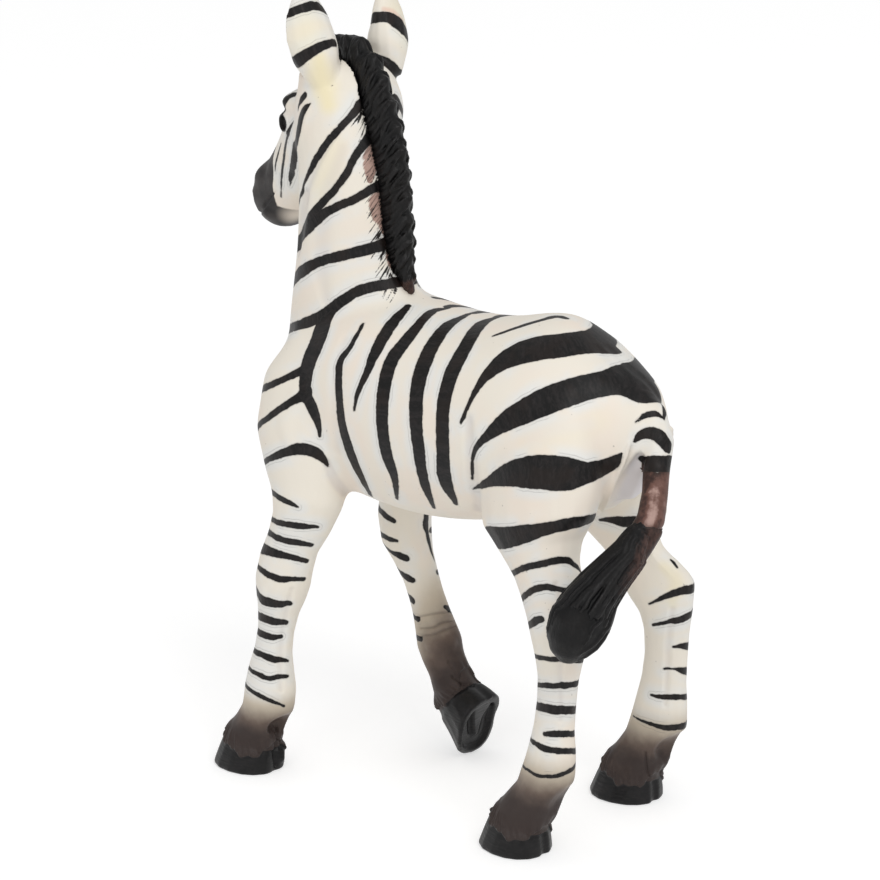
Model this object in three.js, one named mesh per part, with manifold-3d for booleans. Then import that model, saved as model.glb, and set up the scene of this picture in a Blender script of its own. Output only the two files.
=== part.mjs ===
import * as THREE from 'three';
import { mergeVertices } from 'three/addons/utils/BufferGeometryUtils.js';
import Module from 'manifold-3d';

const wasm = await Module();
wasm.setup();

// A walking zebra figure, moulded and hand painted. Lengths are in millimetres: +X is forward,
// +Y is the animal's left and +Z is up. Three hooves stand on the ground and one is lifted.

// Driving dimensions of the body
const withersHeight = 70;
const bodyLength = 66;
const barrelWidth = 29;

// Driving dimensions of the neck, the head and what they carry
const neckLength = 42;
const neckDepth = 18;
const neckWidth = 12.8;
const headLength = 34;
const headDepth = 15.5;
const headWidth = 14.6;
const earLength = 12.5;
const earWidth = 6.3;
const eyeDiameter = 3;
const maneHeight = 3.6;
const maneWidth = 3.8;

// Driving dimensions of the legs, across the slim part of the shin, and of the hooves
const shinDepth = 5.4;
const shinWidth = 4.6;
const hoofLength = 10.4;
const hoofWidth = 9;
const hoofHeight = 4.4;

// Driving dimensions of the tail, measured along it
const dockLength = 19;
const dockWidth = 3.9;
const tuftLength = 21;
const tuftWidth = 8;

// How the pieces are pegged together
const jointGap = 0.3;
const legPegDiameter = 4.4;
const legPegLength = 6;
const neckPegDiameter = 7;
const neckPegLength = 7;
const headPegDiameter = 5;
const headPegLength = 5;
const hoofPegDiameter = 3;
const hoofPegLength = 1.8;
const pegRoot = 1.5;

// How finely the skins are faceted
const bodySides = 28;
const limbSides = 16;
const smallSides = 12;

// Angles in degrees
const headDrop = 43;
const headTurn = -14;
const legSeamSlope = 28;
const hindSeamDip = 18;
const foreSeamDip = 0;
const neckSeamSlope = 30;
const headSeamSlope = 57;
const liftedHoofTurn = 62;
const coronetSlope = 14;
const foreToeOut = 0;
const hindToeOut = -8;
const earForwardLean = 15;
const earOutwardLean = 12;

// Along the body from the buttocks to the breast: place, back line, belly line, half the
// width, and how full the section is
const trunkShares = [
  [-0.47, 0.86, 0.79, 0.08, 2],
  [-0.452, 0.9, 0.735, 0.16, 2],
  [-0.415, 0.943, 0.69, 0.25, 2],
  [-0.36, 0.98, 0.663, 0.35, 2],
  [-0.29, 1.01, 0.648, 0.435, 2.1],
  [-0.21, 1.014, 0.626, 0.472, 2.1],
  [-0.12, 1.002, 0.602, 0.48, 2.1],
  [-0.04, 0.99, 0.585, 0.49, 2.1],
  [0.04, 0.986, 0.575, 0.495, 2.1],
  [0.12, 0.992, 0.572, 0.487, 2.1],
  [0.2, 1, 0.576, 0.467, 2.1],
  [0.285, 0.99, 0.588, 0.437, 2.1],
  [0.365, 0.957, 0.608, 0.39, 2.1],
  [0.435, 0.91, 0.64, 0.315, 2.1],
  [0.49, 0.862, 0.687, 0.215, 2],
  [0.53, 0.81, 0.745, 0.09, 2],
];

// Up the neck from inside the chest to the poll: rise, lean forward, shift to the left, half
// the depth in front, half the depth behind and half the width. The dips say how far each
// ring's front edge hangs down, in degrees.
const neckRootShares = [0.335, 0, 0.83];
const neckShares = [
  [-0.06, 0, 0, 0.45, 0.6, 0.42],
  [0.04, 0, 0, 0.66, 0.8, 0.52],
  [0.15, 0.01, 0, 0.62, 0.73, 0.56],
  [0.28, 0.02, 0, 0.49, 0.6, 0.545],
  [0.42, 0.02, -0.005, 0.42, 0.5, 0.52],
  [0.56, 0.025, -0.01, 0.4, 0.46, 0.49],
  [0.7, 0.04, -0.02, 0.39, 0.425, 0.47],
  [0.84, 0.07, -0.03, 0.38, 0.39, 0.44],
  [0.95, 0.09, -0.045, 0.33, 0.33, 0.4],
];
const neckDips = [42, 38, 30, 20, 12, 6, 2, -4, -10];

// Along the head from the poll to the lips: above and below the middle line, half the width
// and how full the section is
const pollShares = [-0.045, -0.06, 0.975];
const headShares = [
  [0, 0.14, 0.12, 0.14, 2],
  [0.03, 0.28, 0.27, 0.27, 2],
  [0.1, 0.4, 0.46, 0.4, 2.1],
  [0.2, 0.45, 0.56, 0.46, 2.1],
  [0.3, 0.45, 0.6, 0.48, 2.2],
  [0.4, 0.42, 0.55, 0.465, 2.2],
  [0.5, 0.37, 0.46, 0.41, 2.2],
  [0.6, 0.33, 0.39, 0.36, 2.2],
  [0.7, 0.3, 0.34, 0.33, 2.2],
  [0.8, 0.28, 0.31, 0.31, 2.3],
  [0.89, 0.27, 0.31, 0.305, 2.3],
  [0.96, 0.22, 0.27, 0.27, 2.2],
  [1, 0.11, 0.15, 0.16, 2],
];

// Down a leg from inside the body to inside the hoof: forward, outward, up, then the depth
// and the width against the slim part of the shin
const leftForeShares = [
  [0.324, 0.2, 0.9, 2, 1.5],
  [0.34, 0.27, 0.81, 3.1, 2.1],
  [0.342, 0.32, 0.72, 3.1, 2.3],
  [0.326, 0.35, 0.645, 2.5, 2.2],
  [0.315, 0.38, 0.593, 2.05, 1.95],
  [0.327, 0.4, 0.543, 1.66, 1.62],
  [0.345, 0.415, 0.5, 1.46, 1.4],
  [0.361, 0.425, 0.455, 1.52, 1.5],
  [0.37, 0.43, 0.414, 1.5, 1.62],
  [0.374, 0.435, 0.384, 1.34, 1.48],
  [0.38, 0.44, 0.352, 1.14, 1.17],
  [0.386, 0.445, 0.307, 1, 1],
  [0.392, 0.45, 0.264, 1.04, 1.05],
  [0.398, 0.452, 0.222, 1.26, 1.27],
  [0.4, 0.454, 0.185, 1.42, 1.45],
  [0.404, 0.456, 0.152, 1.42, 1.48],
  [0.417, 0.458, 0.12, 1.3, 1.4],
  [0.436, 0.46, 0.09, 1.3, 1.42],
  [0.45, 0.46, 0.066, 1.44, 1.56],
  [0.457, 0.46, 0.044, 1.4, 1.5],
];
const rightForeShares = [
  [0.314, -0.2, 0.9, 2, 1.5],
  [0.335, -0.27, 0.81, 3.1, 2.1],
  [0.324, -0.3, 0.72, 3, 2.3],
  [0.298, -0.32, 0.645, 2.35, 2.1],
  [0.295, -0.325, 0.59, 1.9, 1.83],
  [0.305, -0.328, 0.535, 1.58, 1.52],
  [0.314, -0.328, 0.485, 1.5, 1.55],
  [0.308, -0.328, 0.44, 1.42, 1.5],
  [0.288, -0.328, 0.4, 1.14, 1.17],
  [0.268, -0.328, 0.361, 1, 1.03],
  [0.252, -0.328, 0.323, 0.98, 1],
  [0.239, -0.328, 0.292, 1.03, 1.06],
  [0.227, -0.328, 0.262, 1.14, 1.17],
  [0.215, -0.328, 0.23, 1.28, 1.3],
  [0.204, -0.328, 0.2, 1.18, 1.22],
  [0.189, -0.328, 0.17, 1.06, 1.13],
  [0.176, -0.328, 0.142, 1.22, 1.32],
  [0.164, -0.328, 0.118, 1.4, 1.52],
  [0.153, -0.328, 0.096, 1.36, 1.46],
];
const leftHindShares = [
  [-0.28, 0.2, 0.93, 2.2, 1.6],
  [-0.276, 0.24, 0.86, 3.2, 2.3],
  [-0.276, 0.275, 0.79, 3.7, 2.7],
  [-0.28, 0.3, 0.72, 3.85, 2.6],
  [-0.29, 0.335, 0.66, 3.6, 2.35],
  [-0.31, 0.36, 0.61, 2.4, 1.9],
  [-0.328, 0.38, 0.578, 1.95, 1.65],
  [-0.348, 0.395, 0.538, 1.85, 1.5],
  [-0.366, 0.405, 0.492, 1.85, 1.38],
  [-0.373, 0.41, 0.451, 1.75, 1.28],
  [-0.373, 0.414, 0.412, 1.4, 1.14],
  [-0.373, 0.418, 0.372, 1.15, 1],
  [-0.37, 0.42, 0.32, 1.08, 0.98],
  [-0.365, 0.422, 0.268, 1.12, 1.04],
  [-0.362, 0.424, 0.226, 1.3, 1.2],
  [-0.356, 0.426, 0.184, 1.44, 1.33],
  [-0.345, 0.427, 0.152, 1.46, 1.37],
  [-0.326, 0.428, 0.12, 1.3, 1.3],
  [-0.3, 0.428, 0.09, 1.3, 1.42],
  [-0.285, 0.428, 0.066, 1.44, 1.56],
  [-0.279, 0.428, 0.044, 1.4, 1.5],
];
const rightHindShares = [
  [-0.28, -0.2, 0.93, 2.2, 1.6],
  [-0.262, -0.24, 0.86, 3, 2.2],
  [-0.25, -0.27, 0.79, 3.3, 2.5],
  [-0.248, -0.3, 0.72, 3.1, 2.5],
  [-0.247, -0.33, 0.66, 2.6, 2.3],
  [-0.265, -0.355, 0.61, 2.25, 1.9],
  [-0.296, -0.38, 0.575, 2.1, 1.7],
  [-0.323, -0.395, 0.538, 2.05, 1.5],
  [-0.345, -0.405, 0.492, 2.1, 1.38],
  [-0.36, -0.41, 0.451, 1.85, 1.28],
  [-0.37, -0.414, 0.412, 1.45, 1.15],
  [-0.371, -0.418, 0.372, 1.22, 1.05],
  [-0.37, -0.42, 0.32, 1.15, 1],
  [-0.365, -0.422, 0.268, 1.2, 1.06],
  [-0.36, -0.424, 0.226, 1.36, 1.24],
  [-0.354, -0.426, 0.184, 1.5, 1.36],
  [-0.343, -0.427, 0.152, 1.5, 1.38],
  [-0.323, -0.428, 0.12, 1.35, 1.32],
  [-0.3, -0.428, 0.09, 1.33, 1.44],
  [-0.285, -0.428, 0.066, 1.46, 1.58],
  [-0.279, -0.428, 0.044, 1.42, 1.52],
];

// Where each leg parts from the body: forward, outward and up
const foreSeamShares = [0.31, 0, 0.52];
const hindSeamShares = [-0.3, 0, 0.6];

// Up a hoof from the sole to the coronet: height, length, width and set back
const hoofShares = [
  [0, 0.97, 0.96, 0],
  [0.08, 1, 1, 0],
  [0.5, 0.91, 0.92, -0.045],
  [1, 0.8, 0.82, -0.09],
];

// What each leg is called
const legNames = {
  left_fore: 'left_foreleg',
  right_fore: 'right_foreleg',
  left_hind: 'left_hind_leg',
  right_hind: 'right_hind_leg',
};

// How square a hoof is
const hoofFullness = 2.2;

// The four legs: each has its rows, where it parts from the body, its side and its hoof
const legPlans = {
  left_fore: {
    shares: leftForeShares,
    seam: foreSeamShares,
    seamDip: foreSeamDip,
    side: 1,
    toeOut: foreToeOut,
    hoof: { place: [0.464, 0.46, 0], turn: 0 },
  },
  right_fore: {
    shares: rightForeShares,
    seam: foreSeamShares,
    seamDip: foreSeamDip,
    side: -1,
    toeOut: foreToeOut,
    hoof: { place: [0.111, -0.328, 0.074], turn: liftedHoofTurn },
  },
  left_hind: {
    shares: leftHindShares,
    seam: hindSeamShares,
    seamDip: hindSeamDip,
    side: 1,
    toeOut: hindToeOut,
    hoof: { place: [-0.268, 0.428, 0], turn: 0 },
  },
  right_hind: {
    shares: rightHindShares,
    seam: hindSeamShares,
    seamDip: hindSeamDip,
    side: -1,
    toeOut: hindToeOut,
    hoof: { place: [-0.268, -0.428, 0], turn: 0 },
  },
};

// Where the neck and the head part from what carries them, along the neck from its root
const neckSeamShare = 0.2;
const neckSetBackShare = 0.1;
const headSeamShares = [0.033, -0.03, 0.71];

// The mane springs from the crest of the neck and runs on over the poll between the ears.
// Its height and width go from the withers to the forelock.
const maneOnHeadShares = [
  [0.07, 0, 0.37],
  [0.16, 0, 0.44],
  [0.25, 0, 0.45],
];
const maneShares = [
  [0.1, 0.5],
  [0.8, 0.9],
  [1, 1],
  [1.05, 1.05],
  [1.1, 1.1],
  [1.05, 1.05],
  [0.9, 0.9],
  [0.6, 0.7],
];
const maneFirstRow = 3;
const maneSink = 1;
const maneTuftShare = 0.14;
const maneTufts = 4;

// Along an ear from its root to its tip: rise, half the width, half the thickness behind and
// in front
const earShares = [
  [-0.22, 0.3, 0.3, 0.3],
  [0, 0.42, 0.42, 0.42],
  [0.15, 0.49, 0.45, 0.45],
  [0.35, 0.5, 0.4, 0.36],
  [0.55, 0.48, 0.34, 0.28],
  [0.75, 0.38, 0.25, 0.18],
  [0.9, 0.22, 0.15, 0.1],
  [1, 0.06, 0.05, 0.04],
];
const earRootShares = [0.07, 0.4, 0.28];
const earHollowShares = [
  [0.2, 0.1, -0.16, 0.3],
  [0.32, 0.3, -0.02, 0.5],
  [0.5, 0.36, 0.08, 0.5],
  [0.7, 0.29, 0.08, 0.4],
  [0.88, 0.1, 0.06, 0.3],
];

// An eye along, out to the side and above the middle line of the head
const eyeShares = [0.42, 0.385, 0.17];

// The tail from inside the rump: forward, to the left and up, with half the width
const dockRootShares = [-0.455, 0, 0.865];
const dockShares = [
  [0.2, 0, 0.14, 0.52],
  [0, 0, 0, 0.6],
  [-0.095, 0.03, -0.17, 0.57],
  [-0.14, 0.1, -0.33, 0.46],
  [-0.22, 0.22, -0.47, 0.44],
  [-0.3, 0.37, -0.6, 0.48],
  [-0.29, 0.48, -0.68, 0.4],
];
const tuftShares = [
  [-0.02, -0.06, 0.05, 0.26],
  [0.035, 0.08, -0.11, 0.28],
  [0.085, 0.17, -0.225, 0.34],
  [0.13, 0.26, -0.335, 0.41],
  [0.155, 0.32, -0.42, 0.48],
  [0.18, 0.37, -0.52, 0.53],
  [0.22, 0.395, -0.64, 0.48],
  [0.23, 0.42, -0.725, 0.34],
  [0.24, 0.42, -0.79, 0.13],
];

// Paint
const paints = {
  coat: new THREE.MeshStandardMaterial({ color: 0xebe4d7, roughness: 0.5, metalness: 0 }),
  black: new THREE.MeshStandardMaterial({ color: 0x403b3b, roughness: 0.55, metalness: 0 }),
  hoof: new THREE.MeshStandardMaterial({ color: 0x2b2a2b, roughness: 0.35, metalness: 0 }),
  eye: new THREE.MeshStandardMaterial({ color: 0x100e0e, roughness: 0.08, metalness: 0 }),
};
const paintOf = {
  mane: 'black',
  tail_tuft: 'black',
  left_eye: 'eye',
  right_eye: 'eye',
  left_fore_hoof: 'hoof',
  right_fore_hoof: 'hoof',
  left_hind_hoof: 'hoof',
  right_hind_hoof: 'hoof',
};

// A table with steps of smoothly placed rows between its own
function fair(rows, steps) {
  const columns = rows[0].map((_, column) => {
    const marks = rows.map((row, index) => new THREE.Vector2(index, row[column]));
    return new THREE.SplineCurve(marks);
  });
  const count = (rows.length - 1) * steps;
  const places = Array.from({ length: count + 1 }, (_, index) => index / count);
  return places.map((place) => columns.map((curve) => curve.getPoint(place).y));
}

// A point given as shares of the body's length, width and height
function onBody([forward, outward, up]) {
  return new THREE.Vector3(
    forward * bodyLength,
    outward * barrelWidth,
    up * withersHeight,
  );
}

// One egg-shaped ring: across reaches its side, fore and back its front and rear edges
function ring(centre, across, fore, back, fullness, sides) {
  const round = (value) => Math.sign(value) * Math.abs(value) ** (2 / fullness);
  return Array.from({ length: sides }, (_, index) => {
    const turn = (2 * Math.PI * index) / sides;
    const depth = Math.sin(turn) < 0 ? back : fore;
    return centre.clone()
      .addScaledVector(across, round(Math.cos(turn)))
      .addScaledVector(depth, Math.abs(round(Math.sin(turn))));
  });
}

// A closed solid through a row of rings
function loft(rings) {
  const sides = rings[0].length;
  const points = rings.flat();
  const faces = [];
  rings.slice(1).forEach((_, level) => {
    for (let side = 0; side < sides; side += 1) {
      const next = (side + 1) % sides;
      const low = level * sides;
      const high = low + sides;
      faces.push([low + side, low + next, high + next], [low + side, high + next, high + side]);
    }
  });
  [[0, 1], [rings.length - 1, -1]].forEach(([level, facing]) => {
    const middle = new THREE.Vector3();
    rings[level].forEach((point) => middle.addScaledVector(point, 1 / sides));
    const hub = points.push(middle) - 1;
    for (let side = 0; side < sides; side += 1) {
      const here = level * sides + side;
      const next = level * sides + ((side + 1) % sides);
      faces.push(facing > 0 ? [hub, next, here] : [hub, here, next]);
    }
  });
  return solidOf(points.flatMap((point) => point.toArray()), faces.flat());
}

// A solid from coordinates and corner numbers, turned so that its faces point outwards
function solidOf(coordinates, corners) {
  const at = (corner) => new THREE.Vector3().fromArray(coordinates, corner * 3);
  let sixVolumes = 0;
  for (let index = 0; index < corners.length; index += 3) {
    const cross = at(corners[index + 1]).cross(at(corners[index + 2]));
    sixVolumes += at(corners[index]).dot(cross);
  }
  const outward = sixVolumes < 0 ? [...corners].reverse() : corners;
  return new wasm.Manifold(new wasm.Mesh({
    numProp: 3,
    vertProperties: new Float32Array(coordinates),
    triVerts: new Uint32Array(outward),
  }));
}

// A solid from one of three.js's own shapes, put in place by a matrix
function solidFrom(shape, place) {
  const bare = shape.clone();
  bare.deleteAttribute('normal');
  bare.deleteAttribute('uv');
  bare.applyMatrix4(place);
  const merged = mergeVertices(bare);
  return solidOf([...merged.attributes.position.array], [...merged.index.array]);
}

// A right-handed place: a point, then slopes about the across and forward axes and a turn
// about the upright one, all in degrees
function placeAt(point, forwardSlope = 0, sideSlope = 0, turn = 0) {
  const tilt = new THREE.Euler(
    THREE.MathUtils.degToRad(sideSlope),
    THREE.MathUtils.degToRad(forwardSlope),
    THREE.MathUtils.degToRad(turn),
    'ZYX',
  );
  return new THREE.Matrix4().makeRotationFromEuler(tilt).setPosition(point);
}

// The rings of a limb, square to its path, from rows of centre, fore and back depth and half
// width. A turn in degrees points its front outwards, and spare widens it all round.
function limbRings(rows, turn, sides, spare = 0) {
  return rows.map((row, index) => {
    const before = rows[Math.max(index - 1, 0)].centre;
    const after = rows[Math.min(index + 1, rows.length - 1)].centre;
    const along = after.clone().sub(before).normalize();
    const across = new THREE.Vector3(0, 1, 0).applyMatrix4(placeAt(new THREE.Vector3(), 0, 0, turn));
    across.addScaledVector(along, -across.dot(along)).normalize();
    const fore = along.clone().cross(across);
    return ring(
      row.centre,
      across.clone().multiplyScalar(row.half + spare),
      fore.clone().multiplyScalar(row.fore + spare),
      fore.clone().multiplyScalar(-row.back - spare),
      2,
      sides,
    );
  });
}

// Everything under the top of a place, as a large block let down by some depth
function under(place, depth) {
  const reach = 4 * (withersHeight + bodyLength + neckLength);
  const drop = new THREE.Matrix4().makeTranslation(0, 0, -depth - reach / 2);
  return solidFrom(new THREE.BoxGeometry(reach, reach, reach), place.clone().multiply(drop));
}

// A solid's two parts at the top of a place, with the joint's gap between them
function partAt(place, solid) {
  return {
    lower: solid.intersect(under(place, jointGap / 2)),
    upper: solid.subtract(under(place, -jointGap / 2)),
  };
}

// A round peg rooted at a place and reaching up from it, or down where the way is -1, with
// spare all round for a socket
function pegAt(place, way, diameter, length, spare = 0) {
  const radius = diameter / 2 + spare;
  const upright = new THREE.Matrix4().makeRotationX(Math.PI / 2);
  upright.setPosition(0, 0, (way * (length + spare - pegRoot)) / 2);
  const shape = new THREE.CylinderGeometry(radius, radius, length + spare + pegRoot, limbSides);
  return solidFrom(shape, place.clone().multiply(upright));
}

// The same place moved in its own plane to where a path of rows passes through it
function placeOnPath(place, rows) {
  const home = new THREE.Vector3().setFromMatrixPosition(place);
  const facing = new THREE.Vector3().setFromMatrixColumn(place, 2);
  const heights = rows.map((row) => row.centre.clone().sub(home).dot(facing));
  const after = heights.findIndex((height, index) => index > 0 && height <= 0);
  const share = heights[after - 1] / (heights[after - 1] - heights[after]);
  const point = rows[after - 1].centre.clone().lerp(rows[after].centre, share);
  return place.clone().setPosition(point);
}

// The barrel of the body
function trunkBody() {
  const rings = fair(trunkShares, 2).map(([forward, top, bottom, half, fullness]) => {
    const centre = onBody([forward, 0, (top + bottom) / 2]);
    const reach = new THREE.Vector3(0, 0, ((top - bottom) / 2) * withersHeight);
    const across = new THREE.Vector3(0, half * barrelWidth, 0);
    return ring(centre, across, reach, reach.clone().negate(), fullness, bodySides);
  });
  return loft(rings);
}

// The neck's sections: where each is, which way its front points, and its sizes
function neckSections() {
  const root = onBody(neckRootShares);
  const rows = neckShares.map((row, index) => [...row, neckDips[index]]);
  return fair(rows, 2).map(([rise, lean, side, front, behind, half, dip]) => ({
    centre: new THREE.Vector3(lean, side, rise).multiplyScalar(neckLength).add(root),
    fore: new THREE.Vector3(1, 0, 0).applyMatrix4(placeAt(new THREE.Vector3(), dip)),
    front: front * neckDepth,
    behind: behind * neckDepth,
    half: half * neckWidth,
  }));
}

// The neck, rooted in the chest
function neckBody() {
  return loft(neckSections().map(({ centre, fore, front, behind, half }) => ring(
    centre,
    new THREE.Vector3(0, half, 0),
    fore.clone().multiplyScalar(front),
    fore.clone().multiplyScalar(-behind),
    2,
    bodySides,
  )));
}

// Where the head sits: its own place has +X from the poll to the lips and +Z to the forehead
function headPlace() {
  const root = onBody(neckRootShares);
  const [back, side, up] = pollShares;
  const poll = new THREE.Vector3(back, side, up).multiplyScalar(neckLength).add(root);
  return placeAt(poll, headDrop, 0, headTurn);
}

// A point of the head given as shares of its length, width and depth
function onHead([along, outward, up]) {
  return new THREE.Vector3(along * headLength, outward * headWidth, up * headDepth);
}

// The head without its ears and eyes
function headBody() {
  const place = headPlace();
  const rings = fair(headShares, 2).map(([along, above, beneath, half, fullness]) => {
    const points = ring(
      new THREE.Vector3(along * headLength, 0, 0),
      new THREE.Vector3(0, half * headWidth, 0),
      new THREE.Vector3(0, 0, above * headDepth),
      new THREE.Vector3(0, 0, -beneath * headDepth),
      fullness,
      bodySides,
    );
    return points.map((point) => point.applyMatrix4(place));
  });
  return loft(rings);
}

// One eye, a bead set in the side of the head, with spare for its socket
function eyeBody(side, spare = 0) {
  const [along, outward, up] = eyeShares;
  const place = headPlace().multiply(placeAt(onHead([along, side * outward, up])));
  const radius = eyeDiameter / 2 + spare;
  return solidFrom(new THREE.SphereGeometry(radius, smallSides, smallSides / 2), place);
}

// Where an ear is rooted: +Z runs up the ear, +X is the way that its hollow faces
function earPlace(side) {
  const [along, outward, up] = earRootShares;
  const point = onHead([along, side * outward, up]).applyMatrix4(headPlace());
  return placeAt(point, earForwardLean, -side * earOutwardLean, headTurn);
}

// One ear as a solid leaf, with spare for its socket
function earLeaf(side, spare = 0) {
  const place = earPlace(side);
  const rings = fair(earShares, 2).map(([rise, half, behind, front]) => {
    const points = ring(
      new THREE.Vector3(0, 0, rise * earLength),
      new THREE.Vector3(0, half * earWidth + spare, 0),
      new THREE.Vector3(front * earWidth + spare, 0, 0),
      new THREE.Vector3(-behind * earWidth - spare, 0, 0),
      2,
      smallSides,
    );
    return points.map((point) => point.applyMatrix4(place));
  });
  return loft(rings);
}

// What is scooped out of an ear's front
function earHollow(side) {
  const place = earPlace(side);
  const rings = fair(earHollowShares, 2).map(([rise, half, behind, front]) => {
    const points = ring(
      new THREE.Vector3(0, 0, rise * earLength),
      new THREE.Vector3(0, half * earWidth, 0),
      new THREE.Vector3(front * earWidth, 0, 0),
      new THREE.Vector3(-behind * earWidth, 0, 0),
      2,
      smallSides,
    );
    return points.map((point) => point.applyMatrix4(place));
  });
  return loft(rings);
}

// The upright mane, sunk a little into the crest, with spare for its groove
function maneBody(spare = 0) {
  const onNeck = neckSections().slice(maneFirstRow).map(({ centre, fore, behind }) => (
    centre.addScaledVector(fore, -behind)
  ));
  const onPoll = maneOnHeadShares.map((point) => onHead(point).applyMatrix4(headPlace()));
  const crest = new THREE.CatmullRomCurve3([...onNeck, ...onPoll]);
  const sizes = fair(maneShares, maneTufts);
  const rows = sizes.map(([height, width], index) => {
    const tuft = index % 2 ? 1 + maneTuftShare : 1 - maneTuftShare;
    return {
      centre: crest.getPointAt(index / (sizes.length - 1)),
      fore: height * maneHeight * (spare ? 1 + maneTuftShare : tuft),
      back: maneSink,
      half: (width * maneWidth) / 2,
    };
  });
  return loft(limbRings(rows, 0, smallSides, spare));
}

// The rows of a leg down to inside its hoof
function legRows(shares) {
  return shares.map(([forward, outward, up, depth, width]) => ({
    centre: onBody([forward, outward, up]),
    fore: (depth * shinDepth) / 2,
    back: (depth * shinDepth) / 2,
    half: (width * shinWidth) / 2,
  }));
}

// A hoof with its sole at the origin of a place and its toe along +X
function hoofBody(place) {
  const rings = hoofShares.map(([up, length, width, back]) => {
    const fore = new THREE.Vector3((length * hoofLength) / 2, 0, 0);
    fore.applyMatrix4(placeAt(new THREE.Vector3(), -coronetSlope * up));
    const points = ring(
      new THREE.Vector3(back * hoofLength, 0, up * hoofHeight),
      new THREE.Vector3(0, (width * hoofWidth) / 2, 0),
      fore,
      fore.clone().negate(),
      hoofFullness,
      limbSides,
    );
    return points.map((point) => point.applyMatrix4(place));
  });
  return loft(rings);
}

// The rows of the tail's dock and of its tuft, each from its own root
function tailRows(shares, root, length, width) {
  return shares.map(([forward, outward, up, half]) => ({
    centre: new THREE.Vector3(forward, outward, up).multiplyScalar(length).add(root),
    fore: half * width,
    back: half * width,
    half: half * width,
  }));
}

// One leg and its hoof, parted at the coronet, and the leg's share of the body
function legPieces({ shares, seam, seamDip, side, toeOut, hoof }) {
  const rows = legRows(shares);
  const limb = loft(limbRings(rows, side * toeOut, limbSides));
  const seamPlace = placeOnPath(placeAt(onBody(seam), seamDip, side * legSeamSlope), rows);
  const { lower, upper } = partAt(seamPlace, limb);
  const hoofPlace = placeAt(onBody(hoof.place), hoof.turn, 0, side * toeOut);
  const coronet = placeAt(new THREE.Vector3(0, 0, hoofHeight), -coronetSlope);
  const coronetPlace = placeOnPath(hoofPlace.clone().multiply(coronet), rows);
  return {
    root: upper,
    socket: pegAt(seamPlace, 1, legPegDiameter, legPegLength, jointGap),
    leg: partAt(coronetPlace, lower).upper
      .add(pegAt(seamPlace, 1, legPegDiameter, legPegLength))
      .add(pegAt(coronetPlace, -1, hoofPegDiameter, hoofPegLength)),
    hoof: partAt(coronetPlace, hoofBody(hoofPlace)).lower
      .subtract(pegAt(coronetPlace, -1, hoofPegDiameter, hoofPegLength, jointGap)),
  };
}

// A named mesh of one solid with its paint
function meshOf(name, solid, paint) {
  const { numProp, vertProperties, triVerts } = solid.getMesh();
  const shape = new THREE.BufferGeometry();
  shape.setAttribute('position', new THREE.BufferAttribute(vertProperties, numProp));
  shape.setIndex(new THREE.BufferAttribute(triVerts, 1));
  const flat = shape.toNonIndexed();
  flat.computeVertexNormals();
  const mesh = new THREE.Mesh(flat, paint);
  mesh.name = name;
  return mesh;
}

// The whole figure, stood on the middle of its own outline
function figure() {
  const neckPoint = new THREE.Vector3(-neckSetBackShare, 0, neckSeamShare).multiplyScalar(neckLength);
  const neckSeam = placeAt(onBody(neckRootShares), neckSeamSlope).multiply(placeAt(neckPoint));
  const headPoint = new THREE.Vector3(...headSeamShares).multiplyScalar(neckLength);
  const headSeam = placeAt(headPoint.add(onBody(neckRootShares)), headSeamSlope, 0, headTurn);

  const solids = {};
  const legs = Object.entries(legPlans).map(([name, plan]) => [name, legPieces(plan)]);
  const core = trunkBody().add(neckBody()).add(headBody());
  const shoulders = partAt(neckSeam, core);
  const throat = partAt(headSeam, shoulders.upper);
  const neckSocket = pegAt(neckSeam, -1, neckPegDiameter, neckPegLength, jointGap);
  const headSocket = pegAt(headSeam, 1, headPegDiameter, headPegLength, jointGap);

  const dockRoot = onBody(dockRootShares);
  const dockRows = tailRows(dockShares, dockRoot, dockLength, dockWidth);
  const dockEnd = dockRows[dockRows.length - 1].centre;
  const tuftRows = tailRows(tuftShares, dockEnd, tuftLength, tuftWidth);
  const dock = loft(limbRings(dockRows, 0, smallSides));
  const dockSpace = loft(limbRings(dockRows, 0, smallSides, jointGap));

  solids.trunk = legs.reduce((body, [, leg]) => body.add(leg.root), shoulders.lower);
  legs.forEach(([name, leg]) => {
    solids.trunk = solids.trunk.subtract(leg.socket);
    solids[legNames[name]] = leg.leg;
    solids[`${name}_hoof`] = leg.hoof;
  });
  solids.trunk = solids.trunk.subtract(neckSocket).subtract(dockSpace).subtract(maneBody(jointGap));
  solids.neck = throat.lower
    .add(pegAt(neckSeam, -1, neckPegDiameter, neckPegLength))
    .add(pegAt(headSeam, 1, headPegDiameter, headPegLength))
    .subtract(maneBody(jointGap));
  solids.head = throat.upper.subtract(headSocket).subtract(maneBody(jointGap));
  Object.entries({ left: 1, right: -1 }).forEach(([name, side]) => {
    solids.head = solids.head.subtract(eyeBody(side, jointGap)).subtract(earLeaf(side, jointGap));
    solids[`${name}_ear`] = earLeaf(side).subtract(earHollow(side)).subtract(maneBody(jointGap));
    solids[`${name}_eye`] = eyeBody(side);
  });
  solids.mane = maneBody();
  solids.tail_dock = dock;
  solids.tail_tuft = loft(limbRings(tuftRows, 0, limbSides)).subtract(dockSpace);

  const group = new THREE.Group();
  Object.entries(solids).forEach(([name, solid]) => {
    group.add(meshOf(name, solid, paints[paintOf[name] ?? 'coat']));
  });
  const box = new THREE.Box3().setFromObject(group, true);
  const middle = box.getCenter(new THREE.Vector3());
  group.position.set(-middle.x, -middle.y, -box.min.z);
  group.userData.shift = group.position.toArray();
  return group;
}

export default figure();
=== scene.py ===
import math
import random

import bmesh
import bpy
import numpy as np
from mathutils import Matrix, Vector
from mathutils.bvhtree import BVHTree


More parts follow.
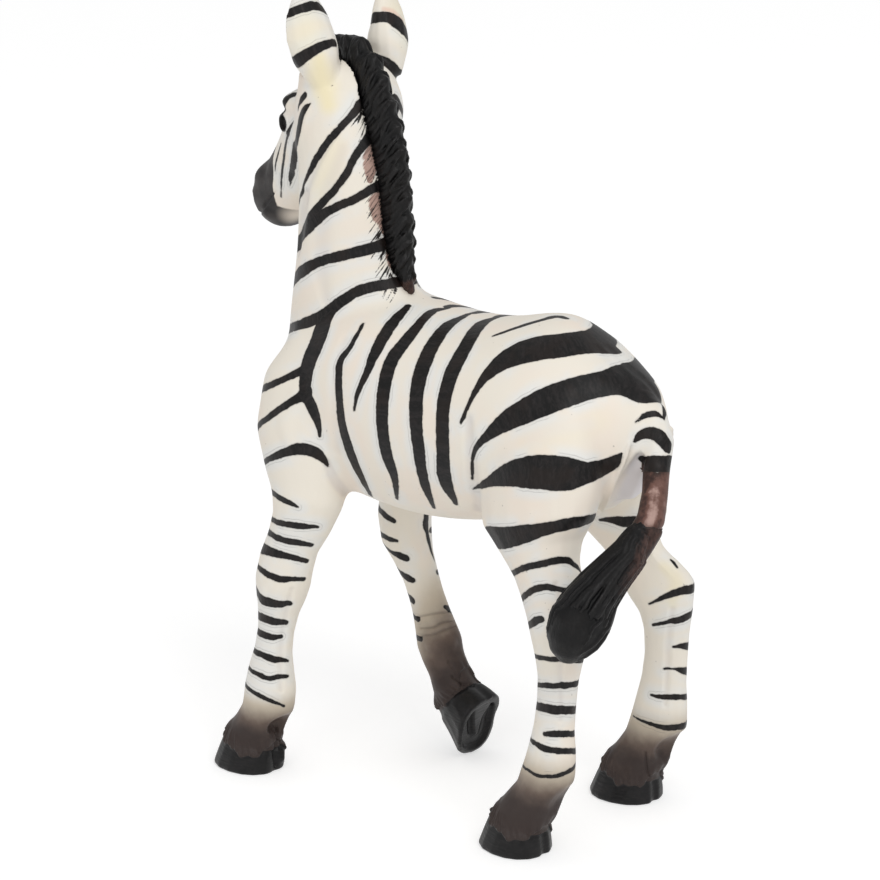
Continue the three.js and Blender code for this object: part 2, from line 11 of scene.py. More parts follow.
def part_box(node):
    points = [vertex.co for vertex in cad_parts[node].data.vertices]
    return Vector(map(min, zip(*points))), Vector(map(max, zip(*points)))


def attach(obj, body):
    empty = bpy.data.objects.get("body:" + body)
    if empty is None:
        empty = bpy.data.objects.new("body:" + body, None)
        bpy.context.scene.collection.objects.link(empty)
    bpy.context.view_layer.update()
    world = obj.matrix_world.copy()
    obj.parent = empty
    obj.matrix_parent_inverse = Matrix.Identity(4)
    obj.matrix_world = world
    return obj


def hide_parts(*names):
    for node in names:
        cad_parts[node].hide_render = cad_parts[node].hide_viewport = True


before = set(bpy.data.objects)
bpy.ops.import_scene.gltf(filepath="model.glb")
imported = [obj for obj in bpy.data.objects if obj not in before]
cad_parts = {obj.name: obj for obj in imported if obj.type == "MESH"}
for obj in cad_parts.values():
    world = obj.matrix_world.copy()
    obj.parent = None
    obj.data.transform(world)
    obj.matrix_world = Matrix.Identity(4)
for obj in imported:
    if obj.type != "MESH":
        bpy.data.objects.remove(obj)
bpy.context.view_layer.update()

# A walking zebra figure in painted vinyl. Sizes are in millimetres, and meshes in metres.
mm = 0.001
dice = random.Random(7)

view = {
    "azimuth": 220,
    "elevation": 17,
    "distance": 530,
    "aimForward": -1.98,  # from the middle of the trunk
    "aimLeft": 7.27,  # from the plane between the hind hooves
    "aimUp": 53.1,
    "lens": 159.57,
    "sensor": 36,
    "picture": 880,
}


def boxOf(node):
    low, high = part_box(node)
    return np.array(low) / mm, np.array(high) / mm


def middleOf(node):
    low, high = boxOf(node)
    return (low + high) / 2


midline = (middleOf("left_hind_hoof")[1] + middleOf("right_hind_hoof")[1]) / 2


# Camera
def addCamera():
    turn, lift = math.radians(view["azimuth"]), math.radians(view["elevation"])
    back = Vector((math.sin(turn) * math.cos(lift), -math.cos(turn) * math.cos(lift), math.sin(lift)))
    aim = Vector((middleOf("trunk")[0] + view["aimForward"], midline + view["aimLeft"], view["aimUp"])) * mm
    data = bpy.data.cameras.new("camera")
    data.lens = view["lens"]
    data.sensor_width = view["sensor"]
    data.clip_start = 0.01
    camera = bpy.data.objects.new("camera", data)
    camera.location = aim + back * view["distance"] * mm
    camera.rotation_euler = (-back).to_track_quat("-Z", "Y").to_euler()
    bpy.context.collection.objects.link(camera)
    bpy.context.scene.camera = camera
    bpy.context.view_layer.update()
    return camera


camera = addCamera()
pictureRight, pictureUp, pictureBack = np.array(camera.matrix_world.to_3x3()).T
print("camera placed")


def pixelRay(across, down):
    half = view["picture"] / 2
    focus = view["lens"] / view["sensor"] * view["picture"]
    turn = camera.matrix_world.to_3x3()
    return camera.location / mm, (turn @ Vector((across - half, half - down, -focus))).normalized()


# Meshes
def addMesh(name, bm):
    mesh = bpy.data.meshes.new(name)
    bm.to_mesh(mesh)
    bm.free()
    piece = bpy.data.objects.new(name, mesh)
    bpy.context.collection.objects.link(piece)
    return piece


def copyNodes(nodes, swell=0.0):
    # the nodes' own surfaces in one bmesh, each pushed out by a swell
    whole = bmesh.new()
    for node in nodes:
        part = bmesh.new()
        part.from_mesh(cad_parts[node].data)
        bmesh.ops.remove_doubles(part, verts=part.verts, dist=0.01 * mm)
        part.normal_update()
        for vert in part.verts:
            vert.co += vert.normal * swell * mm
        mesh = bpy.data.meshes.new("copy")
        part.to_mesh(mesh)
        part.free()
        whole.from_mesh(mesh)
        bpy.data.meshes.remove(mesh)
    return whole


def useModifier(piece, kind, **settings):
    # adds a modifier and keeps its result
    modifier = piece.modifiers.new(kind.lower(), kind)
    for name, value in settings.items():
        setattr(modifier, name, value)
    depsgraph = bpy.context.evaluated_depsgraph_get()
    mesh = bpy.data.meshes.new_from_object(piece.evaluated_get(depsgraph))
    piece.modifiers.clear()
    old = piece.data
    piece.data = mesh
    bpy.data.meshes.remove(old)
    return piece


def readNumbers(items, name, width, kind=np.float32):
    # one value or vector of each item
    values = np.empty(len(items) * width, kind)
    items.foreach_get(name, values)
    return values.reshape(-1, width)


def spotsOf(mesh):
    return readNumbers(mesh.vertices, "co", 3).astype(float) / mm


def facingOf(mesh):
    return readNumbers(mesh.vertex_normals, "vector", 3).astype(float)


def moveSpots(mesh, spots):
    mesh.vertices.foreach_set("co", (spots * mm).astype(np.float32).ravel())
    mesh.update()


def linksOf(mesh):
    return readNumbers(mesh.edges, "vertices", 2, np.int32)


def blurred(values, links, passes):
    # each value drawn towards the mean of its neighbours'
    one, two = links.T
    count = len(values)
    degree = np.bincount(one, minlength=count) + np.bincount(two, minlength=count)
    for _ in range(passes):
        total = np.bincount(one, values[two], count) + np.bincount(two, values[one], count)
        mean = np.where(degree > 0, total / np.maximum(degree, 1), values)
        values = 0.5 * values + 0.5 * mean
    return values


def evened(spots, links, passes):
    return np.stack([blurred(spots[:, axis], links, passes) for axis in range(3)], axis=1)


def treeOf(mesh):
    return BVHTree.FromPolygons(
        [vert.co / mm for vert in mesh.vertices], [face.vertices[:] for face in mesh.polygons])


def smoothStep(low, high, values):
    share = np.clip((values - low) / (high - low), 0, 1)
    return share * share * (3 - 2 * share)


def bell(away):
    # from 1 where nothing is between to 0 at a distance of 1
    return np.clip(1 - away ** 2, 0, 1) ** 2


def reliefOf(mesh, passes):
    # how far each spot stands out from the evened shape, in tenths of a millimetre
    spots = spotsOf(mesh)
    return ((spots - evened(spots, linksOf(mesh), passes)) * facingOf(mesh)).sum(1) * 10


def keepNumbers(mesh, name, values):
    attribute = mesh.attributes.new(name, "FLOAT", "POINT")
    attribute.data.foreach_set("value", values.astype(np.float32))


# The skin: one surface over the whole animal, parted into its pieces once it is carved and painted
skinShape = {
    "softness": {  # how far each piece's joins are rounded over
        "trunk": 1.0,
        "neck": 0.6,
        "head": 0.12,
        "left_ear": 0.06,
        "right_ear": 0.06,
        "left_foreleg": 0.12,
        "right_foreleg": 0.12,
        "left_hind_leg": 0.12,
        "right_hind_leg": 0.12,
        "left_fore_hoof": 0.03,
        "right_fore_hoof": 0.03,
        "left_hind_hoof": 0.03,
        "right_hind_hoof": 0.03,
        "tail_dock": 0.06,
    },
    "fillers": ["left_eye", "right_eye"],
    "swell": 0.25,
    "voxel": 0.3,
    "passes": 150,
    "regain": 0.08,  # how much of the swell stays
    "blend": 40,  # passes that blend one piece's softness into the next
    "plain": "trunk",  # the one piece without fine detail
}
skinNodes = list(skinShape["softness"])


def nodeTree(nodes):
    # one search tree over the nodes' own faces, with the node of each face
    spots, faces, owners = [], [], []
    for node in nodes:
        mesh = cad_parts[node].data
        first = len(spots)
        spots.extend(vert.co / mm for vert in mesh.vertices)
        faces.extend([first + corner for corner in face.vertices] for face in mesh.polygons)
        owners.extend([node] * len(mesh.polygons))
    return BVHTree.FromPolygons(spots, faces), owners


def makeSkin():
    bm = copyNodes(skinNodes + skinShape["fillers"], skinShape["swell"])
    skin = addMesh("skin", bm)
    useModifier(skin, "REMESH", mode="VOXEL", voxel_size=skinShape["voxel"] * mm)
    mesh = skin.data
    spots = spotsOf(mesh) - facingOf(mesh) * (skinShape["swell"] - skinShape["regain"])
    moveSpots(mesh, spots)
    softness = np.array([skinShape["softness"][owner] for owner in ownersAt(spots)])
    softness = blurred(softness, linksOf(mesh), skinShape["blend"])
    group = skin.vertex_groups.new(name="softness")
    for percent in range(101):
        members = np.nonzero(np.round(softness * 100) == percent)[0]
        if len(members):
            group.add(members.tolist(), percent / 100, "REPLACE")
    useModifier(skin, "SMOOTH", factor=0.5, iterations=skinShape["passes"], vertex_group="softness")
    return skin


def refine(skin):
    # halves the faces of every piece with fine detail
    bm = bmesh.new()
    bm.from_mesh(skin.data)
    owners = ownersAt([face.calc_center_median() / mm for face in bm.faces])
    chosen = set()
    for face, owner in zip(bm.faces, owners):
        if owner != skinShape["plain"]:
            chosen.update(face.edges)
    bmesh.ops.subdivide_edges(bm, edges=list(chosen), cuts=1, use_grid_fill=True)
    bm.to_mesh(skin.data)
    bm.free()


def ownersAt(spots):
    # the piece that each spot is on
    tree, owners = nodeTree(skinNodes)
    return np.array([owners[tree.find_nearest(spot)[2]] for spot in spots])


# The head's own place: its middle is between the eyes, and it runs forwards to the lips
face = {
    "drop": 43,
    "darkFrom": 0.405,  # where the dark muzzle starts, from the eyes to the lips
    "flat": 0.5,  # the same above this height
    "chinPull": 0.052,  # and how much later it starts for each millimetre down,
    "chinFrom": -5.6,  # as far as the chin,
    "chinBack": 0.03,  # where it runs back again
    "edge": 0.05,  # how soft its edge is,
    "jawEdge": 0.03,  # and how much softer at the jaw
    "bridgeHalf": 4.6,  # the cream comes down further along the bridge, on this half width
    "bridgeBack": 0.1,  # and by this share,
    "bridgeUp": (-3, 0),  # between these heights
    "jawDown": (-3.5, -6),  # where the jaw's softer edge starts and holds
    "ownPlane": (14, 9),  # from the face's middle line, where its own middle plane starts and holds
}


def facePlace():
    left, right = middleOf("left_eye"), middleOf("right_eye")
    across = Vector(left - right).normalized()
    level = across.cross(Vector((0, 0, 1))).normalized()
    drop = math.radians(face["drop"])
    along = level * math.cos(drop) - Vector((0, 0, 1)) * math.sin(drop)
    middle = Vector((left + right) / 2)
    spots = spotsOf(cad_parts["head"].data)
    reach = ((spots - np.array(middle)) @ np.array(along)).max()
    return middle, along, across, along.cross(across), reach


faceMiddle, faceAlong, faceAcross, faceUp, faceReach = facePlace()


def onFace(along, outward, up):
    # a point of the head: along is a share of the way from the eyes to the lips
    return faceMiddle + faceAlong * along * faceReach + faceAcross * outward + faceUp * up


# Forms that the nodes leave out: along, outward, up, how far they reach, how far they are pushed
# and which way
headForms = [
    # brow, and the hollow behind it
    ((-0.12, 6.2, 2.8), 2.7, 2.0, (0.43, 0.85, 0.5)),
    ((-0.3, 5.5, 2.0), 2.2, -0.35, (0, 1, 0)),
    # cheek and the hollow between it and the muzzle
    ((0.12, 5.5, -5.5), 3.4, 0.3, (0, 1, 0)),
    ((0.5, 5.0, -2.6), 2.4, -0.25, (0, 1, 0)),
    # the nose above the nostrils, the nostril's rim and the nostril itself
    ((0.72, 3.6, 0.6), 2.9, 0.7, (0.43, 0.81, 0.4)),
    ((0.86, 3.6, -1.2), 1.9, 0.25, (0.2, 1, 0.2)),
    ((0.9, 3.9, -1.5), 0.75, -0.85, (0.4, 1, 0)),
    # lips
    ((0.84, 3.4, -5.0), 1.7, 0.4, (0.2, 1, 0)),
]
# the step below each fetlock: back from the sole's middle, up, how far it reaches and how deep
fetlocks = {
    "left_fore": (6.6, 7.2, 2.7, 2.2),
    "left_hind": (8.3, 8.8, 3.2, 1.3),
    "right_hind": (8.4, 8.8, 3.5, 2.5),
    "right_fore": (5.6, 8.4, 2.4, 0.5),
}
# up each ear from its foot: share of its height, shift and how wide, as seen from the camera
earForms = {
    "left_ear": [(0, 0, 1), (0.24, 0, 1.08), (0.46, 0, 1.15), (0.65, 0.4, 1.06), (0.83, 0.8, 0.86),
                 (1, 0.9, 0.8)],
    "right_ear": [(0, 0, 1), (0.35, -0.1, 0.95), (0.5, -0.1, 0.84), (0.66, -0.3, 0.74), (0.8, -0.5, 0.6),
                  (1, -0.6, 0.5)],
}
earDrop = {"left_ear": 0, "right_ear": 1.2}  # how much lower its tip is,
earDropFrom = 0.35  # from this share of its height up
# forms given in the picture: the pieces, the pixel at the middle, how far it reaches, how much its
# depth counts in that, and how far the skin is pushed to the right and up
sightForms = {
    "thigh": ("right_hind_leg trunk", (683, 543), 5.8, 0.45, -3.2, 0),
    "croup": ("trunk", (624, 344), 8.5, 0.5, -0.65, -0.85),
    "loin": ("trunk", (562, 318), 7, 0.5, 0, 0.5),
    "toe": ("right_fore_hoof right_foreleg", (456, 744), 6.5, 1, 1.2, -0.6),
    "toeRight": ("right_fore_hoof", (476, 738), 5, 1, 1.1, -0.5),
    "toeWall": ("right_fore_hoof right_foreleg", (438, 712), 5.5, 1, 0.7, 0),
}


def soleOf(hoof):
    # the hoof's own flat underside: its middle, the way up from it and the way to the toe
    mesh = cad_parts[hoof].data
    normals = np.array([face.normal for face in mesh.polygons])
    areas = np.array([face.area for face in mesh.polygons])
    alike = (normals @ normals.T > 0.999) @ areas
    up = -normals[alike.argmax()]
    flat = normals @ -up > 0.999
    centres = np.array([face.center for face in mesh.polygons]) / mm
    middle = (centres[flat] * areas[flat, None]).sum(0) / areas[flat].sum()
    return middle, up, np.array([up[2], 0, -up[0]])


soles = {leg: soleOf(leg + "_hoof") for leg in fetlocks}


def onLeg(owner, leg):
    # which spots are on a leg or its hoof
    limb = leg + ("leg" if "fore" in leg else "_leg")
    return (owner == limb) | (owner == leg + "_hoof")


def shapeHead(spots, owner):
    push = np.zeros_like(spots)
    for (along, outward, up), reach, amount, (forwards, aside, upwards) in headForms:
        for side in (-1, 1):
            middle = np.array(onFace(along, outward * side, up))
            heading = faceAlong * forwards + faceAcross * aside * side + faceUp * upwards
            share = bell(np.linalg.norm(spots - middle, axis=1) / reach) * (owner == "head")
            push += (share * amount)[:, None] * np.array(heading.normalized())
    return push


def shapeEar(spots, owner, node):
    own = np.nonzero(owner == node)[0]
    low, high = boxOf(node)
    share = np.clip((spots[own, 2] - low[2]) / (high[2] - low[2]), 0, 1)
    wide = spots[own] @ pictureRight
    levels, middles = np.linspace(0, 1, 16), []
    for level in levels:
        here = wide[np.abs(share - level) < 0.05]
        middles.append((here.max() + here.min()) / 2)  # halfway between the ear's two sides
    middle = np.interp(share, levels, middles)
    marks, shifts, widths = np.array(earForms[node]).T
    push = np.zeros_like(spots)
    move = np.interp(share, marks, shifts) + (wide - middle) * (np.interp(share, marks, widths) - 1)
    push[own] = move[:, None] * pictureRight
    push[own, 2] -= earDrop[node] * np.clip((share - earDropFrom) / (1 - earDropFrom), 0, 1)
    return push


def shapeFetlock(spots, owner, leg):
    back, high, reach, depth = fetlocks[leg]
    middle, up, toe = soles[leg]
    away = np.linalg.norm(spots - (middle + up * high - toe * back), axis=1) / reach
    return (bell(away) * onLeg(owner, leg) * depth)[:, None] * toe


def shapeSeen(spots, owner, tree):
    push = np.zeros_like(spots)
    for pieces, pixel, reach, inward, right, up in sightForms.values():
        away = spots - np.array(tree.ray_cast(*pixelRay(*pixel))[0])
        away -= (away @ pictureBack * (1 - inward))[:, None] * pictureBack
        share = bell(np.linalg.norm(away, axis=1) / reach) * np.isin(owner, pieces.split())
        push += share[:, None] * (pictureRight * right + pictureUp * up)
    return push


skin = makeSkin()
refine(skin)
skinSpots = spotsOf(skin.data)
skinOwner = ownersAt(skinSpots)
shaping = shapeHead(skinSpots, skinOwner) + shapeSeen(skinSpots, skinOwner, treeOf(skin.data))
for node in earForms:
    shaping += shapeEar(skinSpots, skinOwner, node)
for leg in fetlocks:
    shaping += shapeFetlock(skinSpots, skinOwner, leg)
moveSpots(skin.data, skinSpots + shaping)
print("skin", len(skin.data.vertices))


# Strokes on the skin. Most are drawn as pixels of the picture (across, down, thickness) and
# cast from the camera onto the skin; each runs on past its ends by its lead and its tail.
brush = {
    "spacing": 3,  # pixels
    "step": 0.4,  # the same on the skin
    "jump": 2.5,  # a longer step between two hits leaves the surface that the stroke is on
    "apart": 1,  # a stroke nearer to its copy than this has none
    "reach": 2.2,  # how far around a stroke its distance is kept
    "leastShown": 0.6,  # a stroke on skin that turns away is widened by no more than this share
    "pixel": view["distance"] * view["sensor"] / (view["lens"] * view["picture"]),
}

# name: mirrored, lead, tail, points
coatStripes = {
    "jaw": (1, 0, 5, [(373, 86, 18), (366, 97, 14), (357, 109, 9), (342, 126, 7), (329, 140, 7),
                      (316, 159, 6), (305.5, 180, 3), (302, 192, 2.6), (298.8, 200, 3), (298.8, 205, 2)]),
    "throatOne": (1, 0, 8, [(386, 115, 20), (379, 125, 16), (369, 138, 11), (355, 157, 8), (346, 174, 8),
                            (333, 191, 8), (317, 208, 8), (303, 228, 9)]),
    "throatTwo": (1, 0, 8, [(400, 171, 18), (392, 179, 14), (374, 188, 10), (355, 199, 9), (332, 209, 9),
                            (316, 219, 12), (303, 232, 12)]),
    "neckLow": (1, 0, 9, [(402, 232, 17), (394, 239, 14), (376, 247, 12), (345, 255, 11), (318, 262, 10),
                          (301, 272, 12)]),
    "collar": (1, 0, 9, [(420, 276, 14), (408, 280, 12), (393, 283, 11), (361, 290, 11), (342, 301, 11),
                         (322, 316, 12), (306, 323, 11), (291, 328, 9)]),
    "shoulderStem": (1, 0, 0, [(333, 310, 8), (324, 322, 14), (318, 340, 15), (309, 362, 14),
                               (306, 378, 13), (306, 392, 11), (313, 409, 11), (318, 423, 7), (320, 436, 3)]),
    "shoulderHigh": (1, 0, 10, [(309, 366, 12), (299, 372, 8), (282, 380, 7), (264, 388, 7)]),
    "shoulderLow": (1, 0, 10, [(308, 392, 13), (297, 399, 9), (279, 410, 7), (261, 423, 6)]),
    "arm": (1, 6, 0, [(269, 459, 6), (283, 453, 9), (299, 449, 12), (312, 451, 12), (321, 457, 9),
                      (328, 467, 3)]),
    "ribOne": (1, 0, 0, [(363, 324, 3), (350, 347, 5), (339, 364, 7), (339, 400, 8), (343, 430, 9),
                         (353, 459, 9), (362, 479, 7), (371, 496, 3)]),
    "ribTwo": (1, 0, 0, [(408, 306, 6), (391, 325, 11), (377, 349, 11), (367, 372, 7), (358, 392, 5),
                         (354, 410, 2.5)]),
    "ribThree": (1, 0, 0, [(449, 308, 2), (430, 313, 7), (408, 338, 11), (391, 362, 13), (384, 388, 13),
                           (382, 420, 12), (386, 452, 11), (394, 476, 8), (397, 499, 3)]),
    "ribFour": (1, 1.5, 0, [(466, 315, 4), (446, 327, 10), (429, 352, 14), (418, 385, 14), (416, 420, 13),
                            (420, 460, 11), (425, 485, 9), (434, 508, 3)]),
    "ribFive": (1, 1.5, 0, [(500, 316, 4), (480, 325, 10), (463, 351, 13), (450, 378, 14), (443, 409, 13),
                            (443, 452, 13), (445, 480, 13), (456, 504, 4)]),
    "rumpThin": (0, 0, 0, [(493, 336, 2), (520, 326.5, 4), (540, 320.5, 4.5), (556, 316.5, 6),
                           (567, 318.5, 3)]),
    "rumpHigh": (1, 0, 0, [(460.5, 423, 2.5), (476.5, 389, 6), (493, 369, 12.5), (511.5, 356, 19),
                           (533, 348.5, 23), (561, 344.5, 23), (590, 341.5, 22), (602, 343, 19),
                           (612, 347, 12), (620, 351, 3)]),
    "rumpLow": (1, 0, 0, [(471, 480, 3), (473, 453, 4.5), (490, 433.5, 11), (506.5, 421, 19),
                          (526.5, 410.5, 24), (550, 399.5, 27), (573, 391, 26), (600, 384, 25),
                          (617, 380.5, 27), (630, 380, 32), (644, 383, 32), (654, 389, 14)]),
    "haunch": (1, 0, 0, [(471.5, 490.5, 1.5), (490, 481.5, 11), (506.5, 475, 22), (526.5, 472.5, 31),
                         (546.5, 472.5, 34), (566.5, 474, 32), (586.5, 473, 21), (603, 468, 16),
                         (612, 463, 13), (621.5, 453.5, 2)]),
    "thigh": (1, 3, 0, [(484, 536, 20), (500, 538, 22), (520, 535, 19), (545, 529, 13), (570, 524, 11),
                        (590, 520, 8), (600, 514, 3)]),
    "innerThigh": (0, 0, 1, [(600, 520, 3), (612, 520, 7), (624, 522, 11), (636, 522, 12)]),
    "dockHigh": (0, 0, 0, [(636, 422, 2.5), (645, 416, 5.5), (655, 413.5, 5.5), (663, 418, 2.5)]),
    "dockFork": (0, 0, 3, [(664, 419, 2), (664.5, 413, 4.5), (668, 407, 6)]),
    "dockMiddle": (0, 0, 1.5, [(634.5, 441, 4), (641, 435, 9), (650, 433, 12), (659, 436, 13),
                               (666, 444, 12)]),
    "dockLow": (0, 0, 5, [(642, 462, 9), (652, 464, 16), (667, 464, 16)]),
}
legStripes = {
    "leftForeOne": (0, 4, 0, [(268, 489, 4), (280, 498, 5.5), (290, 503, 5), (298, 507, 2)]),
    "leftForeTwo": (0, 6, 0, [(268, 517, 4), (280, 523, 6), (300, 526, 6.5), (318, 527, 3)]),
    "leftForeThree": (0, 6, 0, [(267, 531, 6), (280, 539, 6), (300, 543, 6), (312, 545, 4)]),
    "leftForeFour": (0, 6, 0, [(264, 549, 11), (278, 554, 8), (295, 558, 6), (307, 561, 5)]),
    "leftForeFive": (0, 6, 0, [(257, 566, 4), (267, 574, 6), (280, 579, 7), (292, 579, 5), (304, 579, 4)]),
    "leftForeSix": (0, 6, 0, [(256, 592, 6), (264, 600, 8), (276, 604, 8), (290, 604, 5)]),
    "leftForeSeven": (0, 6, 0, [(259, 616, 8), (272, 621, 8), (286, 623, 5)]),
    "leftForeEight": (0, 6, 0, [(257, 632, 7), (270, 637, 7), (281, 637, 4)]),
    "leftForeNine": (0, 7, 0, [(256, 652, 6), (272, 659, 7), (281, 660, 6), (288, 661, 3)]),
    "leftForeTen": (0, 7, 0, [(252, 671, 4), (267, 678, 5.5), (280, 677, 5), (288, 676, 3)]),
    "leftForeEleven": (0, 6, 0, [(250, 690, 4), (264, 698, 4.5), (284, 706, 3)]),
    "leftHindOne": (0, 6, 3, [(508, 576, 7), (524, 568, 6), (545, 563, 7), (565, 560, 7), (576, 566, 4)]),
    "leftHindTwo": (0, 6, 3, [(521, 599, 6), (533, 590, 7), (545, 587, 7), (562, 590, 5)]),
    "leftHindThree": (0, 5, 0, [(528, 626, 6), (536, 621, 8), (542, 619, 6)]),
    "leftHindFour": (0, 5, 4, [(535, 657, 4), (550, 659, 5), (566, 660, 5), (582, 661, 4)]),
    "leftHindFive": (0, 6, 6, [(539, 685, 5), (558, 686, 6), (576, 684, 6)]),
    "leftHindSix": (0, 6, 6, [(538, 706, 8), (556, 710, 9), (575, 710, 8)]),
    "leftHindSeven": (0, 0, 6, [(545, 734, 5), (558, 734, 7), (575, 734, 6)]),
    "leftHindEight": (0, 5, 6, [(532, 741, 4), (543, 748, 6), (560, 751, 6), (577, 751, 6)]),
    "leftHindNine": (0, 4, 5, [(526, 769, 2.5), (540, 776, 3.5), (560, 775, 4), (576, 767, 4)]),
    "rightHindOne": (0, 0, 0, [(671, 560, 2), (674, 563, 3), (677, 567, 2)]),
    "rightHindTwo": (0, 0, 9, [(649, 604, 2), (662, 598, 5), (678, 592, 8), (696, 588, 9)]),
    "rightHindThree": (0, 0, 9, [(653, 625, 2.5), (668, 622, 5), (682, 619, 7), (696, 612, 6)]),
    "rightHindFour": (0, 0, 8, [(673, 647, 2), (681, 646, 5), (688, 646, 8)]),
    "rightHindFive": (0, 0, 8, [(664, 669, 2), (675, 669, 3), (685, 671, 8)]),
    "rightHindSix": (0, 0, 8, [(651, 695, 2), (662, 697, 5), (685, 697, 6)]),
    "rightHindSeven": (0, 2, 8, [(640, 720, 2), (654, 725, 4), (668, 728, 6), (684, 726, 7)]),
    "rightForeOne": (0, 6, 0, [(380, 510, 5), (387, 517, 6), (394, 521, 5)]),
    "rightForeTwo": (0, 7, 0, [(381, 534, 5), (389, 539, 5), (397, 541, 3)]),
    "rightForeThree": (0, 8, 0, [(393, 553, 4), (400, 556, 7), (406, 558, 7)]),
    "rightForeFour": (0, 6, 0, [(403, 575, 5), (408, 578, 7), (413, 580, 5)]),
    "rightForeFive": (0, 3, 0, [(409, 597, 6), (413, 601, 5)]),
    "rightForeSix": (0, 3, 0, [(412, 616, 7), (418.5, 619.5, 6)]),
    "rightForeSeven": (0, 3, 0, [(415, 637, 6), (421, 639, 6)]),
    "rightForeBack": (0, 2, 5, [(427, 513, 5), (426, 523, 6), (427, 532, 4)]),
    "rightForeBackLow": (0, 0, 6, [(445, 607, 4), (449, 609, 6)]),
    "rightForeBackLast": (0, 0, 6, [(455, 620, 2), (458, 627, 3)]),
}
headStripes = {
    "earTip": (0, 2, 0, [(286, 15, 7), (297, 10, 9), (311, 6, 9), (320, 7, 7), (327, 14, 2)]),
    "earBase": (0, 2, 0, [(296, 62, 13), (306, 55, 12), (320, 47, 10), (332, 43, 8), (341, 45, 8),
                          (348, 54, 9), (351, 63, 5)]),
    "rightEarTip": (0, 2, 2, [(371, 18, 11), (386, 17, 11), (398, 23, 12), (405, 31, 9)]),
    "rightEarBase": (0, 3, 2, [(386, 64, 10), (400, 76, 12)]),
    "pollBand": (0, 0, 0, [(336, 43.5, 6), (343, 45, 7), (348, 52, 8), (351, 62, 4)]),
    "brow": (1, 0, 0, [(298, 94.5, 3), (292, 95, 4.5), (286.5, 98.5, 5), (283.8, 103.5, 4.2),
                       (284.9, 109, 3.2), (284.6, 113.5, 3)]),
    "browMark": (1, 0, 0, [(305, 95, 5), (301.5, 99.5, 4.5), (299, 105, 2.5), (298, 111, 1)]),
    "cheekWide": (1, 0, 0, [(310.5, 103.5, 1.5), (306, 108.5, 6), (302, 117, 6.6), (299, 133, 7.2),
                            (296.3, 150, 6.8), (293.8, 166, 5.5), (291.5, 177.5, 4), (290, 186, 1)]),
    "cheekThin": (1, 0, 0, [(293.6, 121, 1), (289.6, 130, 2.8), (286.2, 142, 3), (283.6, 160, 2.8),
                            (281.6, 177, 2.2), (281, 197, 1.2)]),
    "cheekFar": (1, 0, 0, [(281.2, 143, 1.2), (278.6, 152, 2.2), (275.8, 163, 2), (275, 171, 0.8)]),
}
# The right foreleg's outer side, seen squarely from the right: forward, up, thickness
rightSide = {
    "armHigh": [(12.5, 45.4, 0.3), (15.5, 44.8, 1.1), (19, 45.3, 1.2), (22, 44.9, 0.4)],
    "armMiddle": [(14, 42.4, 0.3), (17, 41.6, 1.0), (20, 42.1, 1.1), (24, 41.7, 0.9)],
    "armLow": [(12.5, 39.3, 0.6), (16, 38.4, 1.1), (19.5, 38.9, 0.9), (22, 39.3, 0.2)],
    "kneeHigh": [(15.5, 35.4, 0.2), (18, 34.8, 1), (23, 35.6, 1)],
    "knee": [(12, 32.4, 0.8), (15, 31.4, 1), (18, 31.8, 0.8), (20, 32.4, 0.2)],
    "kneeLow": [(13.5, 28.9, 0.2), (17, 28.2, 0.9), (21, 29.3, 0.9)],
    "cannonHigh": [(10.5, 26.4, 0.7), (14, 25.2, 0.9), (17, 25.6, 0.2)],
    "cannon": [(12.5, 22.6, 0.2), (15, 22.6, 0.8), (19, 24.2, 0.8)],
}


def eased(points, spacing):
    # a smooth run through a few points, about a spacing apart
    knots = np.array(points, float)
    ends = np.vstack([2 * knots[0] - knots[1], knots, 2 * knots[-1] - knots[-2]])
    run = []
    for a, b, c, d in zip(ends, ends[1:], ends[2:], ends[3:]):
        steps = max(2, int(np.linalg.norm((c - b)[:-1]) / spacing))
        for t in np.arange(steps) / steps:
            bend = (2 * a - 5 * b + 4 * c - d) * t * t + (3 * b - a - 3 * c + d) * t ** 3
            run.append(b + 0.5 * ((c - a) * t + bend))
    run.append(knots[-1])
    return np.array(run)


def castRun(tree, points):
    # a run of pixels on the skin: (place, half width), cut where it leaves the near surface
    hits, facings = [], []
    for across, down, thickness in eased(points, brush["spacing"]):
        hit, normal, _, _ = tree.ray_cast(*pixelRay(across, down))
        if hit is not None:
            hits.append((hit, max(thickness, 0.5) * brush["pixel"] / 2))
            facings.append(normal)
    middle = len(hits) // 2
    first, last = middle, middle
    while first > 0 and (hits[first - 1][0] - hits[first][0]).length < brush["jump"]:
        first -= 1
    while last < len(hits) - 1 and (hits[last + 1][0] - hits[last][0]).length < brush["jump"]:
        last += 1
    return asSeen(hits[first:last + 1], facings[first:last + 1])


def asSeen(run, facings):
    # widens a run where the skin turns away from the camera
    if len(run) < 3:
        return run
    shown = []
    for index, normal in enumerate(facings):
        heading = run[min(index + 1, len(run) - 1)][0] - run[max(index - 1, 0)][0]
        sight = (run[index][0] - camera.location / mm).normalized()
        aside = normal.cross(heading).normalized()
        path = (heading - sight * heading.dot(sight)).normalized()
        shown.append(max((aside - sight * aside.dot(sight)).cross(path).length, brush["leastShown"]))
    shown = np.convolve(np.pad(shown, 2, "edge"), np.ones(5) / 5, "valid")
    return [(place, half / share) for (place, half), share in zip(run, shown)]


def sideRun(tree, points):
    # a run given squarely from the right
    hits = []
    for forward, up, thickness in eased(points, brush["step"]):
        hit = tree.ray_cast(Vector((forward, -100, up)), Vector((0, 1, 0)))[0]
        if hit is not None and hit.y < midline:
            hits.append((hit, max(thickness, 0.1) / 2))
    return hits


